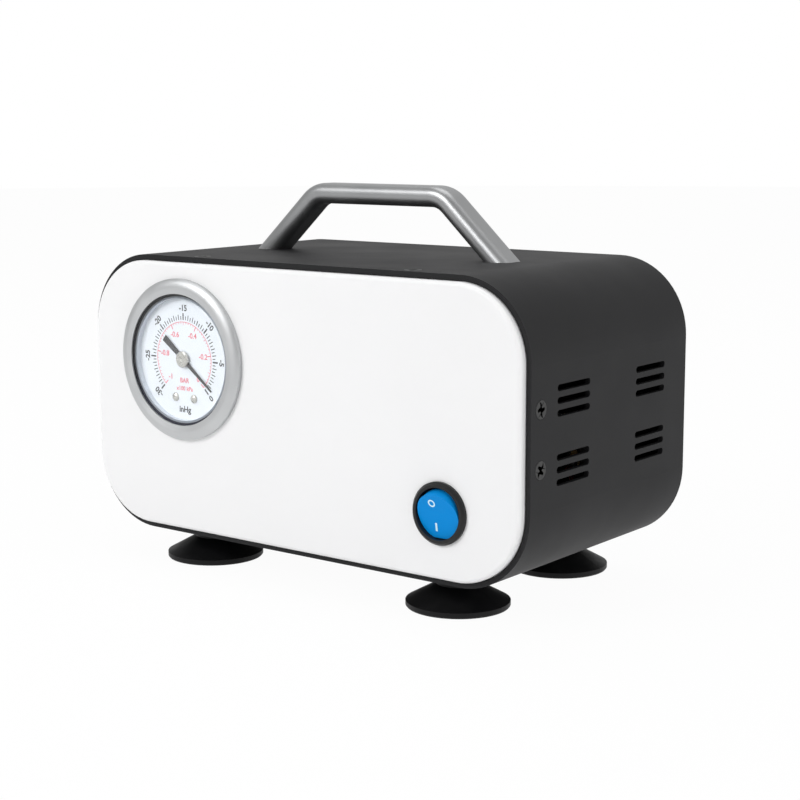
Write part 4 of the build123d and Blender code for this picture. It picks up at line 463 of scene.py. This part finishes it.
# %% Red ticks and their circle
red_steps = 50
red_head = 14.7 * mm
red_main, red_middle, red_short = 12.9 * mm, 13.5 * mm, 14.0 * mm
red_thick, red_thin = 0.42 * mm, 0.18 * mm
red_marks = bmesh.new()
for step in range(red_steps + 1):
    main = step % 10 == 0
    inner = red_main if main else (red_middle if step % 5 == 0 else red_short)
    tick(red_marks, step / red_steps, inner, red_head, red_thick if main else red_thin)
arc_steps = 90
arc_radius, arc_outside, arc_width = 14.75 * mm, 14.8 * mm, 0.24 * mm
arc_plate = Matrix.Diagonal((arc_width, ink, radians(scale_span / arc_steps) * arc_outside, 1))
for step in range(arc_steps):
    start, end = step / arc_steps, (step + 1) / arc_steps
    place = Matrix.Translation((arc_radius, 0, 0))
    bmesh.ops.create_cube(red_marks, size=1,
                          matrix=dial_turn((start + end) / 2) @ place @ arc_plate)
piece("dial_red_ticks", red_marks, red_ink, "housing")

# %% [markdown]
# ## Numbers
#
# Blender's own text object writes the numbers.  It is turned into a mesh first, and only
# then moved to its place, because a finished object has to sit at the origin.  Its letters
# lie in the XY plane, so they are stood up to face the front.

# %% A helper that writes a word
def word(text, size, weight=0.0):
    """A bmesh of a word, centred on the origin, facing the front."""
    curve = bpy.data.curves.new("word", "FONT")
    curve.body = text
    curve.size = size
    curve.offset = weight
    curve.extrude = ink / 2
    curve.align_x = "CENTER"
    curve.align_y = "CENTER"
    curve.resolution_u = 3
    holder = bpy.data.objects.new("word", curve)
    bpy.context.scene.collection.objects.link(holder)
    bpy.context.view_layer.update()
    depsgraph = bpy.context.evaluated_depsgraph_get()
    mesh = bpy.data.meshes.new_from_object(holder.evaluated_get(depsgraph))
    shape = bmesh.new()
    shape.from_mesh(mesh)
    bmesh.ops.rotate(shape, verts=shape.verts, matrix=Matrix.Rotation(pi / 2, 3, "X"))
    bpy.data.objects.remove(holder)
    bpy.data.curves.remove(curve)
    bpy.data.meshes.remove(mesh)
    return shape


# %% [markdown]
# Two more helpers: one joins the words of a colour into a single piece, the other carries
# a word to its place on the scale.

# %% Helpers that join and place words
def gather(parts):
    """Joins several bmeshes into one."""
    whole = bmesh.new()
    for part in parts:
        mesh = bpy.data.meshes.new("part")
        part.to_mesh(mesh)
        part.free()
        whole.from_mesh(mesh)
        bpy.data.meshes.remove(mesh)
    return whole


def on_dial(shape, share, radius, upright):
    """Moves a word to a share of the scale; upright keeps it level."""
    angle = radians(scale_start + scale_span * share)
    if not upright:
        turn = Matrix.Rotation(-(angle - pi / 2), 3, "Y")
        bmesh.ops.rotate(shape, verts=shape.verts, matrix=turn)
    bmesh.ops.translate(shape, verts=shape.verts, vec=(
        gauge.x + radius * cos(angle), ink_y, gauge.z + radius * sin(angle)))
    return shape


# %% [markdown]
# The black numbers stand outside their scale and turn with it.  The red ones stay level
# inside theirs, with the two units below the middle.

# %% Write the dial's numbers
black_ring, red_ring = 20.2 * mm, 10.6 * mm
black_size, black_weight = 3.3 * mm, 0.1 * mm
red_size, red_weight = 3.0 * mm, 0.06 * mm
inches = ["0", "-5", "-10", "-15", "-20", "-25", "-30"]
bars = ["0", "-0.2", "-0.4", "-0.6", "-0.8", "-1"]

black_words = []
for index, text in enumerate(inches):
    number = word(text, black_size, black_weight)
    black_words.append(on_dial(number, index / (len(inches) - 1), black_ring, False))
unit = word("inHg", 3.4 * mm, 0.09 * mm)
bmesh.ops.translate(unit, verts=unit.verts, vec=(gauge.x, ink_y, gauge.z - black_ring))
black_words.append(unit)
piece("dial_black_numbers", gather(black_words), black_ink, "housing")

red_words = []
for index, text in enumerate(bars):
    number = word(text, red_size, red_weight)
    red_words.append(on_dial(number, index / (len(bars) - 1), red_ring, True))
for text, drop, size in (("BAR", 8.6 * mm, 2.7 * mm), ("x100 kPa", 11.8 * mm, 2.4 * mm)):
    line = word(text, size, 0.05 * mm)
    bmesh.ops.translate(line, verts=line.verts, vec=(gauge.x, ink_y, gauge.z - drop))
    red_words.append(line)
piece("dial_red_numbers", gather(red_words), red_ink, "housing")

# %% [markdown]
# ## The dial's two screws
#
# The dial is held by two bright screws with smooth domed heads.  A dome is the upper part
# of a ball made by `create_uvsphere`, flattened and cut along the dial by `bisect_plane`.

# %% Domed heads
dial_screw_radius = 1.3 * mm
dome_radius, dome_height = 1.75 * mm, 0.95 * mm
dial_screw_low, dial_screw_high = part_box("dial_screws")
level = (dial_screw_low[2] + dial_screw_high[2]) / 2
domes = bmesh.new()
for x in (dial_screw_low[0] + dial_screw_radius, dial_screw_high[0] - dial_screw_radius):
    bmesh.ops.create_uvsphere(
        domes, u_segments=32, v_segments=16, radius=1.0,
        matrix=Matrix.Translation((x, dial_y, level))
        @ Matrix.Diagonal((dome_radius, dome_height, dome_radius, 1)))
bmesh.ops.bisect_plane(domes, geom=domes.verts[:] + domes.edges[:] + domes.faces[:],
                       plane_co=(0, dial_y, 0), plane_no=(0, 1, 0), clear_outer=True)
bmesh.ops.holes_fill(domes, edges=[e for e in domes.edges if e.is_boundary])
made = piece("dial_screw_heads", domes, finishes["hub_metal"], "housing", True)
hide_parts("dial_screws")

# %% [markdown]
# ## The signs on the rocker
#
# The rocker's face is hollow, a shallow cylinder about a line across it.  The signs are
# made flat, cut into short strips, and each vertex is then laid on that hollow.  They ride
# on the rocker, so they tip with it when it is pressed.

# %% The rocker's hollow face
rocker_tilt = radians(16.0)
pivot = Vector((switch.x, panel_y + 1.0 * mm, switch.z))
face_out = Vector((0, -cos(rocker_tilt), -sin(rocker_tilt)))
face_up = Vector((0, -sin(rocker_tilt), cos(rocker_tilt)))
face_depth = 2.5 * mm
dish = 40.0 * mm


def lay_on_rocker(shape, lift):
    """Lays a flat sign, made in XZ with Y as its thickness, on the hollow face."""
    for vert in shape.verts:
        across, proud, up = vert.co
        hollow = dish - sqrt(dish * dish - up * up)
        vert.co = (pivot + Vector((across, 0, 0)) + face_up * up
                   + face_out * (face_depth + hollow + lift - proud))


# %% [markdown]
# The O is a flat ring between two circles, thickened by an extrusion.  The I is a thin
# plate.  Both stand left of the middle, the O above and the I below.

# %% O and I
ring_radius, ring_hole_share = 1.5 * mm, 0.62
ring_place = (-1.6 * mm, 0, 4.9 * mm)
off_ring = bmesh.new()
bmesh.ops.create_circle(off_ring, cap_ends=False, segments=28, radius=1.0)
outer_edge = list(off_ring.edges)
bmesh.ops.create_circle(off_ring, cap_ends=False, segments=28, radius=ring_hole_share)
inner_edge = [e for e in off_ring.edges if e not in outer_edge]
bmesh.ops.bridge_loops(off_ring, edges=outer_edge + inner_edge)
upright = Matrix.Rotation(pi / 2, 4, "X") @ Matrix.Diagonal((ring_radius, ring_radius, 1, 1))
bmesh.ops.transform(off_ring, verts=off_ring.verts, matrix=upright)
top = bmesh.ops.extrude_face_region(off_ring, geom=off_ring.faces[:])["geom"]
bmesh.ops.translate(off_ring, vec=(0, ink, 0),
                    verts=[g for g in top if isinstance(g, bmesh.types.BMVert)])
bmesh.ops.translate(off_ring, verts=off_ring.verts, vec=ring_place)

bar_place = (-1.3 * mm, 0, -4.5 * mm)
bar_size = (0.8 * mm, ink, 3.1 * mm, 1)
on_bar = bmesh.new()
bmesh.ops.create_cube(on_bar, size=1,
                      matrix=Matrix.Translation(bar_place) @ Matrix.Diagonal(bar_size))
bmesh.ops.subdivide_edges(on_bar, edges=on_bar.edges[:], cuts=3, use_grid_fill=True)
signs = gather([off_ring, on_bar])
lay_on_rocker(signs, lift=0.03 * mm)
piece("rocker_signs", signs, pale_ink, "switch_rocker")

# %% [markdown]
# ## Screws with a cross
#
# The CAD screws are plain, because a cross recess is small.  Here each is built again:
# a twelve-cornered cross is bridged to the round rim of the head, the cross is pushed in
# and narrowed, and the rim is pulled back to make the cone and the shank.
#
# This helper has a known fault.  In the finished mesh some faces of the head lie across the
# cross, so the recess doesn't come out open.  The bridge is the likely cause: look at its
# faces from above, and mend them, before using the helper again.

# %% A flat cross inside the rim
arm_share, half_share = 0.64, 0.14


def add_cross(shape, arm, half):
    """Adds five flat cells in the shape of a cross; half is half an arm's width."""
    rim = list(shape.edges)
    bmesh.ops.create_grid(shape, x_segments=3, y_segments=3, size=arm)
    grid = {v for e in shape.edges if e not in rim for v in e.verts}
    for vert in grid:
        for axis in (0, 1):
            if abs(vert.co[axis]) < arm * 0.9:
                vert.co[axis] = half if vert.co[axis] > 0 else -half
    corners = [v for v in grid if abs(v.co.x) > half * 1.5 and abs(v.co.y) > half * 1.5]
    bmesh.ops.delete(shape, geom=corners, context="VERTS")
    cells = shape.faces[:]
    outline = [e for e in shape.edges if len(e.link_faces) == 1]
    bmesh.ops.bridge_loops(shape, edges=rim + outline)
    return cells


# %% [markdown]
# The cells of the cross are extruded into the head, and the flat ones they came from are
# taken away.  A domed head falls away from its middle before its rim is pulled back.

# %% Push the cross in, round the head, pull the rim back
bottom_share = 0.72


def push_in(shape, cells, recess):
    """Extrudes the cross downward and narrows its bottom."""
    sunk = bmesh.ops.extrude_face_region(shape, geom=cells)["geom"]
    bmesh.ops.delete(shape, geom=cells, context="FACES")
    bottom = [g for g in sunk if isinstance(g, bmesh.types.BMVert)]
    bmesh.ops.scale(shape, verts=bottom, vec=(bottom_share, bottom_share, 1))
    bmesh.ops.translate(shape, verts=bottom, vec=(0, 0, -recess))


def round_head(shape, head, recess, dome):
    """Lowers the top of a domed head towards its rim."""
    for vert in shape.verts:
        reach = min(1.0, Vector((vert.co.x, vert.co.y)).length / head)
        if vert.co.z > -recess * 0.5:
            vert.co.z -= dome * 0.35 * reach * reach


def pull_back(shape, rings):
    """Extrudes the open rim once for each (scale, height); None keeps the height."""
    edge = [e for e in shape.edges if len(e.link_faces) == 1]
    for scale, height in rings:
        grown = bmesh.ops.extrude_edge_only(shape, edges=edge)["geom"]
        verts = [g for g in grown if isinstance(g, bmesh.types.BMVert)]
        edge = [g for g in grown if isinstance(g, bmesh.types.BMEdge)]
        bmesh.ops.scale(shape, verts=verts, vec=(scale, scale, 1))
        if height is not None:
            for vert in verts:
                vert.co.z = height
    bmesh.ops.contextual_create(shape, geom=edge)


# %% [markdown]
# A countersunk head narrows in a cone to its shank.  A pan head swells a little under its
# dome, and a flat seat leads in to the shank.

# %% Two kinds of screw, standing on the origin with the head toward +Z
shank = 1.5 * mm


def cross_head(head, recess, dome=0.0):
    """The top of a screw: a round head with a cross."""
    shape = bmesh.new()
    bmesh.ops.create_circle(shape, cap_ends=False, segments=24, radius=head)
    cells = add_cross(shape, arm_share * head, half_share * head)
    push_in(shape, cells, recess)
    if dome:
        round_head(shape, head, recess, dome)
    return shape


def countersunk_screw(head, length, cone, recess):
    """A screw with a flat head, let into the sheet."""
    shape = cross_head(head, recess)
    pull_back(shape, [(shank / head, -cone), (1.0, -length)])
    return shape


def pan_screw(head, length, dome, recess):
    """A screw with a low dome on the sheet."""
    shape = cross_head(head, recess, dome)
    pull_back(shape, [(1.06, -dome * 0.6), (1.0, -dome), (shank / head, None), (1.0, -length)])
    return shape


# %% [markdown]
# A finished object sits at the origin, so a screw is turned and moved in its mesh.

# %% Put a screw in its place
def placed(shape, point, outward, spin):
    """Turns a screw so that its head faces outward, spins it, and moves it to its point."""
    turn = Vector(outward).to_track_quat("Z", "Y").to_matrix().to_4x4()
    bmesh.ops.transform(shape, verts=shape.verts,
                        matrix=Matrix.Translation(point) @ turn @ Matrix.Rotation(spin, 4, "Z"))
    return shape


# %% [markdown]
# The front panel is held by eight countersunk screws: two in each side of the housing, two
# in the top and two underneath.  No two were stopped at the same angle.

# %% Place the panel screws
side_inset, side_half_pitch = 6.3 * mm, 10.6 * mm
top_inset, top_half_span = 6.0 * mm, 52.0 * mm
first_spin, next_spin = 0.35, 0.9
mid_z = (sleeve_low.z + sleeve_high.z) / 2
spots = []
for side in (-1, 1):
    edge_x = sleeve_high.x if side > 0 else sleeve_low.x
    for rise in (-1, 1):
        spots.append(((edge_x, sleeve_low.y + side_inset, mid_z + rise * side_half_pitch),
                      (side, 0, 0)))
    for height, up in ((sleeve_low.z, -1), (sleeve_high.z, 1)):
        spots.append(((side * top_half_span, sleeve_low.y + top_inset, height), (0, 0, up)))
screws = []
for index, (point, outward) in enumerate(spots):
    screw = countersunk_screw(head=3.35 * mm, length=9.0 * mm, cone=1.85 * mm,
                              recess=1.2 * mm)
    screws.append(placed(screw, point, outward, first_spin + next_spin * index))
made = piece("panel_screws", gather(screws), finishes["screw_black"], "housing")
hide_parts("front_panel_screws")

# %% [markdown]
# Four pan-head screws hold the rear panel.  Their places are the corners of the box round
# the CAD screws, one head radius inward.

# %% Place the rear screws
rear_low, rear_high = [Vector(c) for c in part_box("rear_panel_screws")]
pan_head, pan_height = 2.8 * mm, 1.8 * mm
first_spin, column_spin, row_spin = 0.2, 0.7, 1.1
screws = []
for column, x in enumerate((rear_low.x + pan_head, rear_high.x - pan_head)):
    for row, z in enumerate((rear_low.z + pan_head, rear_high.z - pan_head)):
        screw = pan_screw(pan_head, rear_high.y - rear_low.y, pan_height, recess=1.1 * mm)
        spin = first_spin + column_spin * column + row_spin * row
        screws.append(placed(screw, (x, rear_high.y, z), (0, 1, 0), spin))
made = piece("rear_screws", gather(screws), finishes["screw_black"], "housing")
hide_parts("rear_panel_screws")

# %% [markdown]
# ## Camera
#
# A product picture is taken with a long lens from a little above, so that the upright edges
# stay nearly upright.  The camera stands to the right of the pump and looks back at it.

# %% Camera
focal_length, sensor_width = 76.6, 36.0
look_down, roll, look_left = 9.35, 0.13, 37.66
camera_x, camera_reach, camera_z = 0.41911, 0.47708, 0.17783
centre = (0, 0, 0.07)

view = bpy.data.cameras.new("camera")
view.lens = focal_length
view.sensor_width = sensor_width
view.clip_start = 0.01
view.clip_end = 30.0
camera = bpy.data.objects.new("camera", view)
camera.location = (camera_x, sleeve_low.y - camera_reach, camera_z)
camera.rotation_euler = (radians(90 - look_down), radians(roll), radians(look_left))
bpy.context.scene.collection.objects.link(camera)
bpy.context.scene.camera = camera
print("camera is", round((camera.location - Vector(centre)).length, 3), "m away")

# %% [markdown]
# ## Light
#
# Three large soft boxes: a strong one over the front left gives the white panel an even
# light, a weak one high above draws the gleam along the handle, and a weak one on the right
# opens the dark side.

# %% Soft boxes
def soft_box(name, place, aim, width, height, power):
    """A rectangular area lamp at a place, turned to a point."""
    lamp = bpy.data.lights.new(name, "AREA")
    lamp.shape = "RECTANGLE"
    lamp.size = width
    lamp.size_y = height
    lamp.energy = power
    thing = bpy.data.objects.new(name, lamp)
    thing.location = place
    thing.rotation_euler = (Vector(aim) - Vector(place)).to_track_quat("-Z", "Y").to_euler()
    bpy.context.scene.collection.objects.link(thing)
    print(name, power, "W")
    return thing


soft_box("key", (-0.5, -1.3, 0.9), centre, width=0.9, height=0.7, power=12.6)
soft_box("top", (-0.1, 0.15, 1.2), centre, width=0.8, height=0.8, power=3.0)
soft_box("side", (1.3, -0.1, 0.4), centre, width=0.5, height=0.7, power=4.0)

# %% [markdown]
# ## The surroundings
#
# The camera sees a white world, also through glass.  Everything else, reflections too,
# meets a grey that is darker in front of the pump and brighter behind it.  A world shader's
# Generated coordinate is the direction looked in, so its Y tells front from back.

# %% World
white = (1.0, 1.0, 1.0, 1.0)
front_strength, back_strength = 0.42, 0.72

world = bpy.data.worlds.new("studio")
bpy.context.scene.world = world
world.use_nodes = True
tree = world.node_tree
tree.nodes.clear()
path = node(tree, "ShaderNodeLightPath")
seen = node(tree, "ShaderNodeMath", {0: path.outputs["Is Camera Ray"],
                                     1: path.outputs["Is Transmission Ray"]},
            operation="MAXIMUM")
away = node(tree, "ShaderNodeSeparateXYZ",
            {"Vector": node(tree, "ShaderNodeTexCoord").outputs["Generated"]})
level = node(tree, "ShaderNodeMapRange", {"Value": away.outputs["Y"]},
             From_Min=-0.6, From_Max=0.5, To_Min=front_strength, To_Max=back_strength)
dim = node(tree, "ShaderNodeBackground", {"Strength": level.outputs["Result"]})
dim.inputs["Color"].default_value = white
bright = node(tree, "ShaderNodeBackground", Strength=1.0)
bright.inputs["Color"].default_value = white
mix = node(tree, "ShaderNodeMixShader", {0: seen.outputs[0]})
tree.links.new(dim.outputs[0], mix.inputs[1])
tree.links.new(bright.outputs[0], mix.inputs[2])
tree.links.new(mix.outputs[0], node(tree, "ShaderNodeOutputWorld").inputs["Surface"])
print("world strength", front_strength, "in front,", back_strength, "behind")

# %% [markdown]
# ## Floor
#
# The pump stands on a white sweep.  The floor is a large disc that shows plain white to
# the camera, to reflections and through glass, mixed with a small share of its real shade,
# so the soft shadow under the feet still shows.

# %% Floor
floor_radius = 4.0
white_share = 0.96
disc = bmesh.new()
bmesh.ops.create_circle(disc, cap_ends=True, segments=96, radius=floor_radius)
mesh = bpy.data.meshes.new("floor")
disc.to_mesh(mesh)
disc.free()
floor = bpy.data.objects.new("floor", mesh)
bpy.context.scene.collection.objects.link(floor)
sweep = finish("white_sweep", (0.86, 0.86, 0.86), (0.88, 0.88, 0.88),
               roughness=0.7, wander=0.03, patch=0.4, grain=2 * mm, depth=0.01 * mm)
tree = sweep.node_tree
path = node(tree, "ShaderNodeLightPath")
seen = node(tree, "ShaderNodeMath", {0: path.outputs["Is Camera Ray"],
                                     1: path.outputs["Is Glossy Ray"]},
            operation="MAXIMUM")
seen = node(tree, "ShaderNodeMath", {0: seen.outputs[0],
                                     1: path.outputs["Is Transmission Ray"]},
            operation="MAXIMUM")
share = node(tree, "ShaderNodeMath", {0: seen.outputs[0]}, operation="MULTIPLY")
share.inputs[1].default_value = white_share
glow = node(tree, "ShaderNodeEmission", Strength=1.0)
mix = node(tree, "ShaderNodeMixShader", {0: share.outputs[0]})
tree.links.new(tree.nodes["Principled BSDF"].outputs[0], mix.inputs[1])
tree.links.new(glow.outputs[0], mix.inputs[2])
tree.links.new(mix.outputs[0], tree.nodes["Material Output"].inputs["Surface"])
mesh.materials.append(sweep)
print("floor", 2 * floor_radius, "m across")

# %% [markdown]
# ## The end
#
# Colours are shown as they are, with the Standard view.

# %% Finish
bpy.context.scene.view_settings.view_transform = "Standard"
